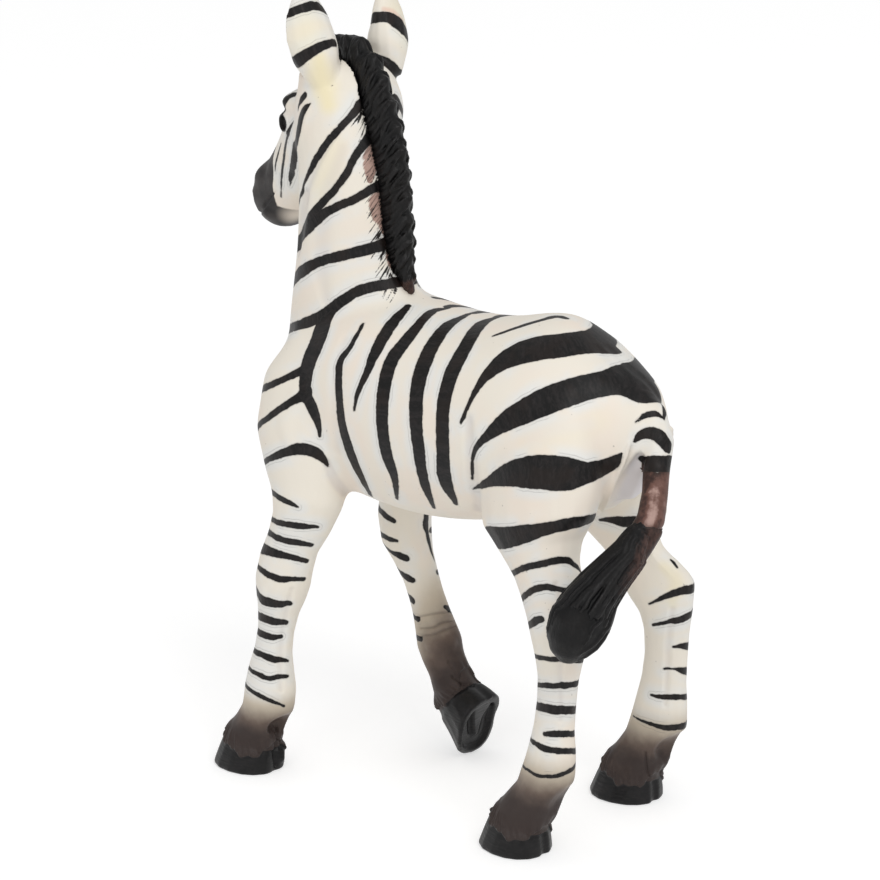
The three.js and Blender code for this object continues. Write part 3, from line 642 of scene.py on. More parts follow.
def runOn(tree, run, length):
    # carries a run on over the skin past its last place, tapering to nothing
    steps = int(length / brush["step"])
    if steps < 1 or len(run) < 2:
        return run
    place, half = run[-1]
    heading = (place - run[max(-4, -len(run))][0]).normalized()
    more = []
    for step in range(1, steps + 1):
        hit, normal, _, _ = tree.find_nearest(place + heading * brush["step"])
        heading = hit - place
        heading = (heading - normal * heading.dot(normal)).normalized()
        place = hit
        more.append((place, half * (1 - (step / steps) ** 3)))
    return run + more


def wholeRun(tree, lead, tail, points):
    run = castRun(tree, points)
    run = runOn(tree, run, tail)
    return runOn(tree, run[::-1], lead)[::-1]


def nearRun(spots, run, reach):
    # for the spots near a run: which they are, how far off it, its half width and the way along it
    places = np.array([place for place, _ in run])
    halves = np.array([half for _, half in run])
    reach = reach + halves.max()
    near = np.nonzero(np.all((spots > places.min(0) - reach) & (spots < places.max(0) + reach), axis=1))[0]
    here = spots[near]
    best = np.full(len(near), np.inf)
    width = np.full(len(near), halves[0])
    gone = np.zeros(len(near))
    reached = 0
    for start, end, one, two in zip(places, places[1:], halves, halves[1:]):
        along = end - start
        length = np.linalg.norm(along)
        share = np.clip((here - start) @ along / max(length ** 2, 1e-9), 0, 1)
        away = np.linalg.norm(here - start - share[:, None] * along, axis=1)
        half = one + (two - one) * share
        closer = away - half < best - width
        best = np.where(closer, away, best)
        width = np.where(closer, half, width)
        gone = np.where(closer, reached + share * length, gone)
        reached += length
    return near, best, width, gone


def alongRuns(spots, runs):
    # the distance of each spot past the edge of the nearest stroke, below zero inside it,
    # and the way along that stroke
    field = np.full(len(spots), brush["reach"])
    flow = np.zeros(len(spots))
    for index, run in enumerate(runs):
        if len(run) < 2:
            continue
        near, away, half, gone = nearRun(spots, run, brush["reach"])
        closer = near[away - half < field[near]]
        inside = away - half < field[near]
        field[closer] = (away - half)[inside]
        flow[closer] = gone[inside] + 20 * index
    return field, flow


def shares(spots, run):
    # how much a stroke does at each spot: all on its middle line, nothing past its edge
    share = np.zeros(len(spots))
    if len(run) > 1:
        near, away, half, _ = nearRun(spots, run, 0)
        share[near] = bell(away / half)
    return share


def shapeRun(tree, points):
    # a stroke given on the head itself: along, outward, up and thickness
    run = []
    for *place, thickness in eased([(*onFace(*point[:3]), point[3]) for point in points], brush["step"]):
        run.append((tree.find_nearest(Vector(place))[0], max(thickness, 0.1) / 2))
    return run


# Stripes on the front of the head: along, outward, up, thickness
browStripes = []
for side in (-1, 1):
    browStripes.append([(-0.17, 6.4 * side, 3.8, 0.3), (-0.1, 6.8 * side, 2.8, 0.45),
                        (-0.03, 6.8 * side, 1.6, 0.35)])
    browStripes.append([(-0.34, 0.5 * side, 6, 0.4), (0, 0.9 * side, 6, 0.8), (0.3, 0.8 * side, 6, 0.7),
                        (0.5, 0.5 * side, 6, 0.2)])
    browStripes.append([(-0.24, 1.6 * side, 6, 0.3), (0, 2.2 * side, 6, 0.8), (0.3, 1.7 * side, 6, 0.6),
                        (0.46, 1.2 * side, 6, 0.2)])


# Copies of the left side's strokes for the right side, which the picture doesn't show
trunkTop = boxOf("trunk")[1][2]


def flip(place):
    # mirrored in the body's own middle plane, which turns and leans with the neck and head
    share = min(max((place.z - trunkTop) / (faceMiddle.z - trunkTop), 0), 1)
    along = min(max((place - faceMiddle).dot(faceAlong), 0), faceReach)
    share = max(share, smoothStep(*face["ownPlane"], (place - faceMiddle - faceAlong * along).length))
    normal = Vector((0, 1, 0)).lerp(faceAcross, share).normalized()
    home = Vector((faceMiddle.x, midline, trunkTop)).lerp(faceMiddle, share)
    return place - 2 * normal * (place - home).dot(normal)


def mirroredRun(tree, run):
    # the stroke's copy, a little moved and thicker or thinner: its longest unbroken part
    wander = Vector((dice.uniform(-0.5, 0.5), 0, dice.uniform(-0.4, 0.4)))
    fullness = dice.uniform(-0.1, 0.12)
    copies = [[]]
    for place, half in run:
        other = flip(place)
        if (place - other).y < brush["apart"]:
            copies.append([])
            continue
        free = min((other - place).length / 10, 1)
        spot = tree.find_nearest(other + wander * free)[0]
        if copies[-1] and (spot - copies[-1][-1][0]).length > brush["jump"]:
            copies.append([])
        copies[-1].append((spot, half * (1 + fullness * free)))
    return max(copies, key=len)


# The mane's middle line, which its locks and its fringe follow
hair = {
    "baseVoxel": 0.3,
    "basePasses": 6,
    "reach": 8,  # further out from a base's middle line than any of its surface
    "relief": 40,  # passes that even the shape which the relief is measured from
}
mane = {
    "shrink": 0.4,  # how far the base lies within the node
    "hub": (5.5, 0),  # forward of the mane and level with its foot, from its box
    "slices": 26,
    "seat": 1.0,  # how far its underside reaches into the neck
    "seatDepth": (0.2, -0.8),
    "front": 4,  # how long its front corner is,
    "frontDepth": (-1.0, 1.5),
    "frontBack": 2.8,  # how far it is rounded off, back
    "frontDown": 1.2,  # and down
    "spacing": 0.6,
    "lean": 2.6,  # how far each lock runs towards the poll
    "clump": 2.3,
    "gather": 0.55,
    "puff": 0.7,
    "points": 9,  # of each lock
    "thickness": 0.5,
    "vary": (0.7, 1.25),
    "lift": 0.18,
    "over": 0.1,  # how much further out the second layer lies
    # degrees round from beside the neck, where the locks of each layer start and end
    "starts": (-60, (-25, 5)),
    "ends": ((70, 100), (85, 118)),
    "worn": (2.2, 0.5),  # from its lower end, where its brown stops and is full
    "voxel": 0.15,
    "passes": 2,
}
fringe = {
    "spacing": 0.45,
    "length": (1.4, 3.8),
    "thickness": (0.14, 0.34),
    "spread": 1.9,  # how far from the mane's middle the roots are,
    "under": 1.3,  # and how far towards the neck
    "aside": (0.5, 1.0),  # the strands' way: aside,
    "back": (0.7, 1.1),  # back along the mane
    "inward": 0.5,
    "root": 0.3,
    "below": 4,  # how far below the mane its brown can reach,
    "gap": 9.0,  # the distance given to all that is further down,
    "hatched": 6,  # and how far from the mane the hatching is worked out
}


def baseOf(node, shrink):
    bm = copyNodes([node], -shrink)
    base = addMesh(node + "_base", bm)
    useModifier(base, "REMESH", mode="VOXEL", voxel_size=hair["baseVoxel"] * mm)
    useModifier(base, "SMOOTH", factor=0.5, iterations=hair["basePasses"])
    return base


def slicedPath(spots, measure, count):
    # the middle of the spots in each slice of a measure, from its low end to its high end
    edges = np.linspace(measure.min(), measure.max(), count + 1)
    return np.array([spots[(measure >= low) & (measure <= high)].mean(0)
                     for low, high in zip(edges, edges[1:])])


def reachedAlong(path):
    # how far along a path each of its points is
    return np.concatenate([[0], np.cumsum(np.linalg.norm(np.diff(path, axis=0), axis=1))])


def placeAlong(path, gone):
    # a place on a path and the way it runs there
    reached = reachedAlong(path)
    gone = np.clip(gone, 0, reached[-1])
    index = min(np.searchsorted(reached, gone, side="right") - 1, len(path) - 2)
    share = (gone - reached[index]) / (reached[index + 1] - reached[index])
    ahead, behind = path[min(index + 2, len(path) - 1)], path[max(index - 1, 0)]
    place = path[index] + (path[index + 1] - path[index]) * share
    return Vector(place), Vector(ahead - behind).normalized()


def nearestAlong(path, spot):
    # how far along a path its point nearest to a spot is
    index = np.linalg.norm(path - spot, axis=1).argmin()
    gone = reachedAlong(path)[index]
    heading = placeAlong(path, gone)[1]
    return gone + (Vector(spot) - Vector(path[index])).dot(heading)


def alongPath(path, spots):
    # how far along a path each spot is, and the way to it from there
    headings = np.gradient(path, axis=0)
    headings /= np.linalg.norm(headings, axis=1, keepdims=True)
    nearest = np.linalg.norm(spots[:, None] - path[None], axis=2).argmin(1)
    away = spots - path[nearest]
    further = (away * headings[nearest]).sum(1)
    return reachedAlong(path)[nearest] + further, away - further[:, None] * headings[nearest]


def aroundMane(gone):
    # a place on the mane's middle line, the way along it, outward from the neck and to the left
    place, heading = placeAlong(manePath, gone)
    outward = Vector((place.x - maneHub[0], 0, place.z - maneHub[2]))
    outward = (outward - heading * outward.dot(heading)).normalized()
    return place, heading, outward, heading.cross(outward)


maneBase = baseOf("mane", mane["shrink"])
maneHub = np.array([boxOf("mane")[1][0] + mane["hub"][0], 0, boxOf("mane")[0][2] + mane["hub"][1]])
fromHub = spotsOf(maneBase.data) - maneHub
manePath = slicedPath(spotsOf(maneBase.data), np.arctan2(fromHub[:, 2], -fromHub[:, 0]), mane["slices"])


def fringeRuns(tree):
    # fine dark strands from the mane's root down over the neck
    runs = []
    for side in (-1, 1):
        for step in range(int(reachedAlong(manePath)[-1] / fringe["spacing"])):
            place, heading, outward, aside = aroundMane((step + dice.random()) * fringe["spacing"])
            root = tree.find_nearest(place + aside * side * fringe["spread"] - outward * fringe["under"])[0]
            half = dice.uniform(*fringe["thickness"]) / 2
            way = aside * side * dice.uniform(*fringe["aside"]) - heading * dice.uniform(*fringe["back"])
            way -= outward * fringe["inward"]
            first = (root - way * fringe["root"], half)
            runs.append(runOn(tree, [first, (root, half)], dice.uniform(*fringe["length"])))
    return runs


def stripeRuns(tree):
    runs = []
    for mirror, lead, tail, points in [*coatStripes.values(), *legStripes.values(), *headStripes.values()]:
        run = wholeRun(tree, lead, tail, points)
        runs.append(run)
        if mirror:
            runs.append(mirroredRun(tree, run))
    return runs


skinTree = treeOf(skin.data)
skinSpots = spotsOf(skin.data)
runs = stripeRuns(skinTree)
for points in browStripes:
    runs.append(shapeRun(skinTree, points))
for points in rightSide.values():
    runs.append(sideRun(skinTree, points))
ink, flow = alongRuns(skinSpots, runs)
keepNumbers(skin.data, "flow", flow)
strands, _ = alongRuns(skinSpots, fringeRuns(skinTree))
keepNumbers(skin.data, "strands", strands)
print("stripes", len(runs))


# Airbrushed parts, with painted shade and painted reflected light among them: how strongly each is laid on,
# from 0 to 1
airbrush = {
    # name: attribute, pieces, mirrored, strength, points (across, down, thickness)
    "fringeTop": ("fringe", "neck head", 1, 1, [(348, 58, 6), (353, 66, 9), (357, 76, 6)]),
    "fringeHigh": ("fringe", "neck head", 1, 1, [(378, 142, 12), (374, 152, 24), (371, 166, 24),
                                                 (370, 180, 10)]),
    "fringeMiddle": ("fringe", "neck", 1, 1, [(384, 190, 12), (378, 202, 24), (379, 216, 20)]),
    "fringeLow": ("fringe", "neck", 1, 1, [(386, 212, 14), (384, 223, 20), (388, 234, 10)]),
    "fringeLast": ("fringe", "neck", 1, 0.9, [(395, 244, 14), (391, 256, 22), (396, 267, 18), (408, 276, 8)]),
    "earCream": ("yellow", "left_ear head", 1, 1, [(319, 60, 30), (322, 80, 46), (328, 104, 30)]),
    "earWarm": ("yellow", "left_ear right_ear", 1, 0.45, [(305, 22, 60), (308, 44, 60)]),
    "cheekCream": ("yellow", "head neck", 1, 0.4, [(334, 150, 40), (324, 176, 44), (322, 195, 30)]),
    "haunchCream": ("yellow", "trunk", 1, 0.2, [(600, 420, 40), (570, 432, 44), (530, 442, 40)]),
    "kneeCream": ("yellow", "right_hind_leg", 0, 0.5, [(664, 566, 20), (676, 580, 26), (672, 602, 20)]),
    "buttockShade": ("shade", "trunk left_hind_leg right_hind_leg", 1, 1,
                     [(644, 462, 18), (640, 480, 36), (635, 500, 46), (624, 514, 44), (612, 524, 20)]),
    "rumpShade": ("shade", "trunk", 1, 0.25, [(530, 440, 30), (560, 428, 34), (590, 424, 30)]),
    # painted reflected light: the dark muzzle turns beige under the chin, where the neck lights it
    "jawBounceLight": ("chin", "head", 1, 0.85, [(286, 217, 9), (291, 216, 19), (296, 215, 28), (301, 213, 34)]),
    "tipBlush": ("blush", "right_ear", 0, 0.8, [(384, 9, 8), (393, 12, 9), (402, 20, 7)]),
}
# name: where the brown starts and where it is full, above the sole, and how brown it is
socks = {
    "left_fore": (14.4, 5.0, 1),
    "left_hind": (17.5, 6.3, 1),
    "right_hind": (16.8, 5.6, 0.97),
    "right_fore": (20.8, 3.7, 1),
}

dock = {
    "top": (654, 469),  # the pixel where the tail's brown starts
    "width": 2.7,  # around the tail's middle there,
    "widens": 10,  # and how far down it widens by as much
    "slices": 10,
}


def laidOn(tree, spots, owner):
    layers = {name: np.zeros(len(spots)) for name in ("fringe", "yellow", "blush", "shade", "chin", "sock")}
    for layer, pieces, mirror, strength, points in airbrush.values():
        run = castRun(tree, points)
        share = shares(spots, run)
        if mirror:
            share = np.maximum(share, shares(spots, mirroredRun(tree, run)))
        layers[layer] = np.maximum(layers[layer], share * strength * np.isin(owner, pieces.split()))
    for leg, (start, full, strength) in socks.items():
        middle, up, _ = soles[leg]
        brown = strength * smoothStep(start, full, (spots - middle) @ up)
        layers["sock"] = np.where(onLeg(owner, leg), brown, layers["sock"])
    # the tail's brown: how far below its start, and how far to the right of its middle
    dockFrom = tree.ray_cast(*pixelRay(*dock["top"]))[0].z
    own = spots[owner == "tail_dock"]
    path = slicedPath(own, -own[:, 2], dock["slices"])
    middle = [np.interp(-spots[:, 2], -path[:, 2], path[:, axis]) for axis in range(3)]
    away = spots - np.stack(middle, axis=1)
    layers["dockAside"] = away @ pictureRight
    width = dock["width"] + np.clip(dockFrom - spots[:, 2], 0, dock["widens"])
    near = (owner == "tail_dock") & (np.linalg.norm(away[:, :2], axis=1) < width)
    layers["dock"] = np.where(near, dockFrom - spots[:, 2], -1)
    return layers


for name, values in laidOn(skinTree, skinSpots, skinOwner).items():
    keepNumbers(skin.data, name, values)

# the muzzle's dark cap: a share of the way from the eyes to the lips, less under the chin
fromEyes = skinSpots - np.array(faceMiddle)
upward = np.minimum(fromEyes @ np.array(faceUp), face["flat"])
down = np.maximum(upward, face["chinFrom"]) * face["chinPull"]
down += np.maximum(face["chinFrom"] - upward, 0) * face["chinBack"]
bridge = smoothStep(face["bridgeHalf"], 0, np.abs(fromEyes @ np.array(faceAcross)))
down -= face["bridgeBack"] * bridge * smoothStep(*face["bridgeUp"], upward)
edge = face["edge"] + face["jawEdge"] * smoothStep(*face["jawDown"], upward)
muzzle = smoothStep(-edge, edge, fromEyes @ np.array(faceAlong) / faceReach + down - face["darkFrom"])
keepNumbers(skin.data, "muzzle", np.where(skinOwner == "head", muzzle, 0))


# Carving: strokes that press the skin in or raise it, in millimetres
carving = {
    # name: mirrored, height, points (across, down, thickness)
    "buttockSeam": (1, 0.65, [(629, 444, 5), (625, 456, 7), (618.5, 471, 8), (608.5, 493, 8), (602, 508, 7),
                              (596, 522, 5)]),
    "buttockHollow": (1, -0.85, [(640, 458, 14), (633, 474, 24), (624, 494, 28), (614, 514, 22),
                                 (606, 528, 12)]),
    "flank": (1, -0.3, [(468, 420, 14), (470, 450, 18), (473, 480, 20), (479, 512, 16)]),
    "elbow": (1, -0.35, [(326, 462, 12), (334, 480, 18), (344, 492, 16), (352, 498, 8)]),
    "shoulder": (1, -0.16, [(345, 340, 16), (337, 370, 20), (335, 410, 20), (338, 450, 18)]),
    "shoulderPoint": (1, 0.22, [(296, 395, 22), (285, 420, 26), (288, 440, 18)]),
    "neckGroove": (1, -0.2, [(342, 150, 24), (328, 190, 34), (322, 230, 36), (322, 270, 30), (326, 300, 18)]),
    "jawEdge": (1, -0.22, [(338, 132, 8), (324, 152, 10), (312, 175, 10), (304, 200, 8)]),
    "cheekBone": (1, 0.25, [(306, 112, 14), (300, 132, 16), (294, 155, 14), (289, 178, 10)]),
    "throatEdge": (1, -0.45, [(305, 196, 12), (302, 212, 18), (300, 230, 18), (298, 250, 14)]),
    "croup": (1, -0.12, [(600, 350, 12), (622, 372, 14), (634, 400, 14)]),
    "tendonLeftHind": (0, -0.2, [(556, 585, 11), (563, 610, 12), (561, 640, 12), (560, 675, 11),
                                 (561, 720, 10)]),
    "hockLeftHind": (0, 0.2, [(574, 610, 8), (574, 632, 9), (571, 655, 6)]),
    "tendonLeftFore": (0, -0.18, [(292, 590, 9), (285, 618, 12), (281, 650, 12), (281, 690, 10)]),
    "kneeLeftFore": (0, 0.16, [(263, 592, 12), (262, 604, 12)]),
    "heelLeftFore": (0, -0.4, [(276.5, 728, 4), (276, 740, 6), (276.5, 756, 6), (277, 766, 4)]),
    "bulbsLeftFore": (0, 0.35, [(282, 733, 8), (282.5, 745, 10), (282, 758, 8)]),
    "tendonRightHind": (0, -0.18, [(672, 610, 10), (668, 640, 12), (667, 670, 11), (665, 705, 9)]),
    "heelRightHind": (0, -0.25, [(645, 752, 4), (646, 765, 5), (648, 775, 4)]),
    "ringOne": (0, -0.22, [(418, 617, 5), (430, 614.5, 6), (439, 613, 6), (449, 612, 4)]),
    "ringTwo": (0, -0.24, [(420, 628.5, 5), (432.5, 627.5, 6), (442.5, 622.5, 6), (455, 620.5, 4)]),
    "ringThree": (0, -0.22, [(421, 636, 5), (433, 634.5, 6), (443, 630.5, 6), (456, 626, 4)]),
    "ringEdge": (0, 0.16, [(418, 623, 6), (431, 621, 7), (441, 617.5, 7), (452, 616, 5)]),
    "kneeBack": (0, 0.3, [(430, 646, 18), (443, 645, 24), (452, 643, 18)]),
    "tendonRightFore": (0, -0.2, [(449, 662, 7), (456, 672, 8), (460, 684, 7)]),
    "heelRightFore": (0, -0.22, [(452, 676, 4), (461, 684, 4), (470, 684, 4)]),
}
sides = {"left": 1, "right": -1}
eyeSocket = {
    "way": (0.93, 0.12, 0.1),  # outward, up, along
    "radius": 1.15,
    "edge": 0.45,  # how far its side slopes
    "press": 0.85,
    "deepest": -1.5,
    "lid": 0.3,  # how high the lids stand
    "lidOut": 0.1,
    "lidWidth": 0.4,
    "lidAbove": 0.45,  # how much stronger the upper one is
    "liner": 0.14,
    "sink": 1.0,  # how far back the eyes sit
}
mouthLine = {
    "depth": -0.2,
    "points": [(0.6, 6, -4.7, 0.3), (0.72, 6, -4.6, 0.75), (0.86, 5, -4.2, 0.8), (1.02, 2.4, -3.6, 0.8),
               (1.1, 0, -3.4, 0.8)],
}
earHollow = {
    "depth": 1.3,
    "share": 0.55,  # of the ear's thickness at the most
    "opening": (0.86, 0.5, 0),  # forward, outward, up
    "facing": 0.1,  # the bowl is on what faces that way by at least this much
    "inside": 0.07,  # how far below the skin its thickness is measured from
    "levels": 20,
    "rim": (0.86, 0.3),  # where the bowl starts and is full, across the ear,
    "foot": (0.1, 0.3),  # above its foot
    "tip": (0.97, 0.7),  # and below its tip
    "narrow": 0.3,  # how narrow it is at the foot,
    "widens": (0.08, 0.5),  # and the heights between which it widens
}
soleShape = {
    "recess": 0.75,
    "rim": 0.82,  # the share of the sole inside the rim,
    "slope": 0.14,  # and how far its side slopes
    "frog": 0.7,  # how much of the recess it fills
    "frogHalf": 0.34,
    "frogTaper": 0.42,
    "frogEnd": (0.42, 0.25),
    "groove": 0.35,
    "grooveHalf": 0.1,
    "cleft": 0.35,
    "cleftHalf": 0.16,
    "cleftHigh": 3.2,
}
# the pastern's skin ends in a wavy skirt over the hoof: degrees round from the toe and height there
coronet = {
    "edge": [(0, 5.3), (60, 4.3), (110, 3.0), (150, 2.6), (168, 4.5), (180, 4.9)],
    "raised": {"right_fore": (0.9, 0.6)},  # all round, and more at the toe
    "wave": 0.22,
    "skirt": 0.3,
    "skirtRise": (-0.1, 0.15),  # above the edge, where the skirt starts and is full,
    "skirtFade": (2.8, 0.3),  # and where it is gone and full
    "fold": 0.14,
}


def eyeWay(side):
    outward, up, along = eyeSocket["way"]
    return np.array((faceAcross * sides[side] * outward + faceUp * up + faceAlong * along).normalized())


def aroundEye(spots, owner, side):
    # which spots are on the head round an eye, how far from its axis, and the way from its middle
    away = spots - middleOf(side + "_eye")
    depth = away @ eyeWay(side)
    own = (owner == "head") & (depth > eyeSocket["deepest"])
    return own, np.linalg.norm(away - depth[:, None] * eyeWay(side), axis=1), away


def carveEar(spots, facing, owner, tree, side):
    forward, outward, up = earHollow["opening"]
    opening = np.array(Vector((forward, outward * sides[side], up)).normalized())
    own = np.nonzero((owner == side + "_ear") & (facing @ opening > earHollow["facing"]))[0]
    low, high = boxOf(side + "_ear")
    push, hollow = np.zeros_like(spots), np.zeros(len(spots))
    height = (spots[own, 2] - low[2]) / (high[2] - low[2])
    wide = spots[own] @ np.cross(opening, (0, 0, 1))
    # the middle and half width of the ear at each height
    count = earHollow["levels"]
    level = np.clip((height * count).astype(int), 0, count - 1)
    middle, half = np.zeros(count), np.ones(count)
    for index in range(count):
        here = wide[level == index]
        if len(here):
            middle[index] = (here.max() + here.min()) / 2
            half[index] = max((here.max() - here.min()) / 2, 0.3)
    levels = (np.arange(count) + 0.5) / count
    share = np.abs(wide - np.interp(height, levels, middle)) / np.interp(height, levels, half)
    share /= earHollow["narrow"] + (1 - earHollow["narrow"]) * smoothStep(*earHollow["widens"], height)
    bowl = smoothStep(*earHollow["rim"], share)
    bowl *= smoothStep(*earHollow["foot"], height) * smoothStep(*earHollow["tip"], height)
    for index, amount in zip(own, bowl):
        if amount > 0:
            start = Vector(spots[index] - opening * earHollow["inside"])
            through = tree.ray_cast(start, Vector(-opening))[3] or 0
            push[index] = -opening * amount * min(earHollow["depth"], through * earHollow["share"])
            hollow[index] = amount
    return push, hollow


def carveEyes(spots, owner):
    push = np.zeros_like(spots)
    for side in sides:
        own, aside, away = aroundEye(spots, owner, side)
        inside = smoothStep(eyeSocket["radius"], eyeSocket["radius"] - eyeSocket["edge"], aside)
        upward = (away @ np.array(faceUp)) / np.maximum(aside, 0.3)
        lid = np.exp(-((aside - eyeSocket["radius"] - eyeSocket["lidOut"]) / eyeSocket["lidWidth"]) ** 2)
        height = lid * (1 + eyeSocket["lidAbove"] * upward) * eyeSocket["lid"] - inside * eyeSocket["press"]
        push += (own * height)[:, None] * eyeWay(side)
    return push


def carveSole(spots, owner, leg):
    # a recess with its frog and grooves, and the cleft between the heel's bulbs
    middle, up, toe = soles[leg]
    aside = np.cross(up, toe)
    own = owner == leg + "_hoof"
    away = spots - middle
    height = away @ up
    flat = own & (height < 0.5)
    long, wide = np.abs(away[flat] @ toe).max(), np.abs(away[flat] @ aside).max()
    along, across = away @ toe / long, np.abs(away @ aside / wide)
    rim = smoothStep(soleShape["rim"], soleShape["rim"] - soleShape["slope"], np.hypot(along, across))
    half = np.clip(soleShape["frogHalf"] - soleShape["frogTaper"] * (along + 0.35), 0.02, 0.42)
    frog = smoothStep(half + 0.09, half - 0.05, across) * smoothStep(*soleShape["frogEnd"], along)
    groove = np.exp(-((across - half - 0.12) / soleShape["grooveHalf"]) ** 2) * smoothStep(0.45, 0.2, along)
    sole = rim * (soleShape["recess"] * (1 - soleShape["frog"] * frog) + soleShape["groove"] * groove)
    sole *= flat & (height < 0.45)
    cleft = soleShape["cleft"] * np.exp(-(across / soleShape["cleftHalf"]) ** 2)
    cleft *= smoothStep(-0.7, -0.95, along) * (own & (height < soleShape["cleftHigh"]))
    return sole[:, None] * up + cleft[:, None] * toe


def aboveCoronet(spots, leg):
    # how far each spot is above the skirt's edge, and its turn round the hoof from the toe
    middle, up, toe = soles[leg]
    away = spots - middle
    turn = np.arctan2(away @ np.cross(up, toe), away @ toe)
    marks, heights = np.array(coronet["edge"]).T
    around, front = coronet["raised"].get(leg, (0, 0))
    start = len(leg)
    edge = np.interp(np.degrees(np.abs(turn)), marks, heights) + around + front * np.cos(turn / 2) ** 2
    edge += coronet["wave"] * (np.sin(turn * 7 + start) + 0.7 * np.sin(turn * 15 + 2 * start))
    return away @ up - edge, turn


def carveCoronet(spots, owner, leg):
    above, turn = aboveCoronet(spots, leg)
    skirt = smoothStep(*coronet["skirtRise"], above) * smoothStep(*coronet["skirtFade"], above)
    fold = coronet["fold"] * np.sin(turn * 24 + above * 1.5) * np.sin(turn * 11 + 1)
    return onLeg(owner, leg) * skirt * (coronet["skirt"] + fold)


def carve(skin, tree, owner):
    # returns how deep each spot lies in a crease, in tenths of a millimetre, and in an ear's hollow
    mesh = skin.data
    spots, facing = spotsOf(mesh), facingOf(mesh)
    smooth = evened(spots, linksOf(mesh), 12)
    height = np.zeros(len(spots))
    for mirror, amount, points in carving.values():
        run = castRun(tree, points)
        height += amount * shares(spots, run)
        if mirror:
            height += amount * shares(spots, mirroredRun(tree, run))
    for side in sides.values():
        line = [(along, outward * side, up, width) for along, outward, up, width in mouthLine["points"]]
        height += mouthLine["depth"] * shares(spots, shapeRun(tree, line))
    spots = spots + carveEyes(spots, owner)
    hollows = np.zeros(len(spots))
    for side in sides:
        push, hollow = carveEar(spots, facing, owner, tree, side)
        spots = spots + push
        hollows += hollow
    for leg in soles:
        height += carveCoronet(spots, owner, leg)
    spots = spots + facing * height[:, None]
    for leg in soles:
        spots = spots + carveSole(spots, owner, leg)
    standing = np.isin(owner, ["left_fore_hoof", "left_hind_hoof", "right_hind_hoof"])
    spots[standing, 2] = np.maximum(spots[standing, 2], 0)
    moveSpots(mesh, spots)
    return ((smooth - spots) * facing).sum(1) * 10, hollows


crease, hollows = carve(skin, skinTree, skinOwner)
keepNumbers(skin.data, "crease", crease)
keepNumbers(skin.data, "hollow", hollows)

# black lids round the eyes
for side in sides:
    own, aside, _ = aroundEye(skinSpots, skinOwner, side)
    ink = np.where(own, np.minimum(ink, aside - eyeSocket["radius"] - eyeSocket["liner"]), ink)
keepNumbers(skin.data, "ink", ink)

# how far each spot is from the mane, and where along it, for the strands of its fringe
maneTree, _ = nodeTree(["mane"])
maneGap = np.full(len(skinSpots), fringe["gap"])
for index in np.nonzero(skinSpots[:, 2] > boxOf("mane")[0][2] - fringe["below"])[0]:
    maneGap[index] = maneTree.find_nearest(skinSpots[index])[3]
keepNumbers(skin.data, "maneGap", maneGap)
beside = np.nonzero(maneGap < fringe["hatched"])[0]
maneAlong = np.zeros(len(skinSpots))
maneAlong[beside] = alongPath(manePath, skinSpots[beside])[0]
keepNumbers(skin.data, "maneAlong", maneAlong)
above = np.zeros(len(skinSpots))
for leg in soles:
    above = np.where(onLeg(skinOwner, leg), aboveCoronet(skinSpots, leg)[0], above)
keepNumbers(skin.data, "coronet", above)
print("skin carved")


# Parting the skin into one piece for each node
def evenSeams(mesh, owner):
    # the lines between the pieces run straight, without the steps of single faces
    edges = readNumbers(mesh.loops, "edge_index", 1, np.int32).ravel()
    faces = np.repeat(owner, [face.loop_total for face in mesh.polygons])
    low, high = np.full(len(mesh.edges), len(skinNodes)), np.full(len(mesh.edges), -1)
    np.minimum.at(low, edges, faces)
    np.maximum.at(high, edges, faces)
    moveSpots(mesh, evened(spotsOf(mesh), linksOf(mesh)[low != high], 8))


def partSkin(skin, nodes):
    mesh = skin.data
    names = ownersAt([face.center / mm for face in mesh.polygons])
    owner = np.zeros(len(names), np.int32)
    for index, node in enumerate(nodes):
        owner[names == node] = index
    evenSeams(mesh, owner)
    facing = mesh.attributes.new("facing", "FLOAT_VECTOR", "POINT")
    facing.data.foreach_set("vector", facingOf(mesh).astype(np.float32).ravel())
    for node in nodes:
        mesh.materials.append(bpy.data.materials.new(node))
    mesh.polygons.foreach_set("material_index", owner)
    bpy.ops.object.select_all(action="DESELECT")
    skin.select_set(True)
    bpy.context.view_layer.objects.active = skin
    bpy.ops.mesh.separate(type="MATERIAL")
    pieces = {}
    for piece in bpy.context.selected_objects:
        own = piece.data.materials[piece.data.polygons[0].material_index]
        pieces[own.name.split(".")[0]] = piece
    return {node: closePiece(pieces[node], node) for node in nodes}


def closePiece(piece, node):
    # closes the piece where it was cut, and keeps the whole skin's shading over the cut
    mesh = piece.data
    mesh.materials.clear()
    bm = bmesh.new()
    bm.from_mesh(mesh)
    rims = [edge for edge in bm.edges if edge.is_boundary]
    caps = bmesh.ops.holes_fill(bm, edges=rims, sides=0)["faces"]
    bmesh.ops.triangulate(bm, faces=caps)
    bm.to_mesh(mesh)
    bm.free()
    mesh.shade_smooth()
    facing = readNumbers(mesh.attributes["facing"].data, "vector", 3)
    mesh.normals_split_custom_set_from_vertices(facing.tolist())
    piece.name = node + "_skin"
    mesh.name = piece.name
    return piece


skinPieces = partSkin(skin, skinNodes)
print("skin pieces", {node: len(piece.data.polygons) for node, piece in skinPieces.items()})


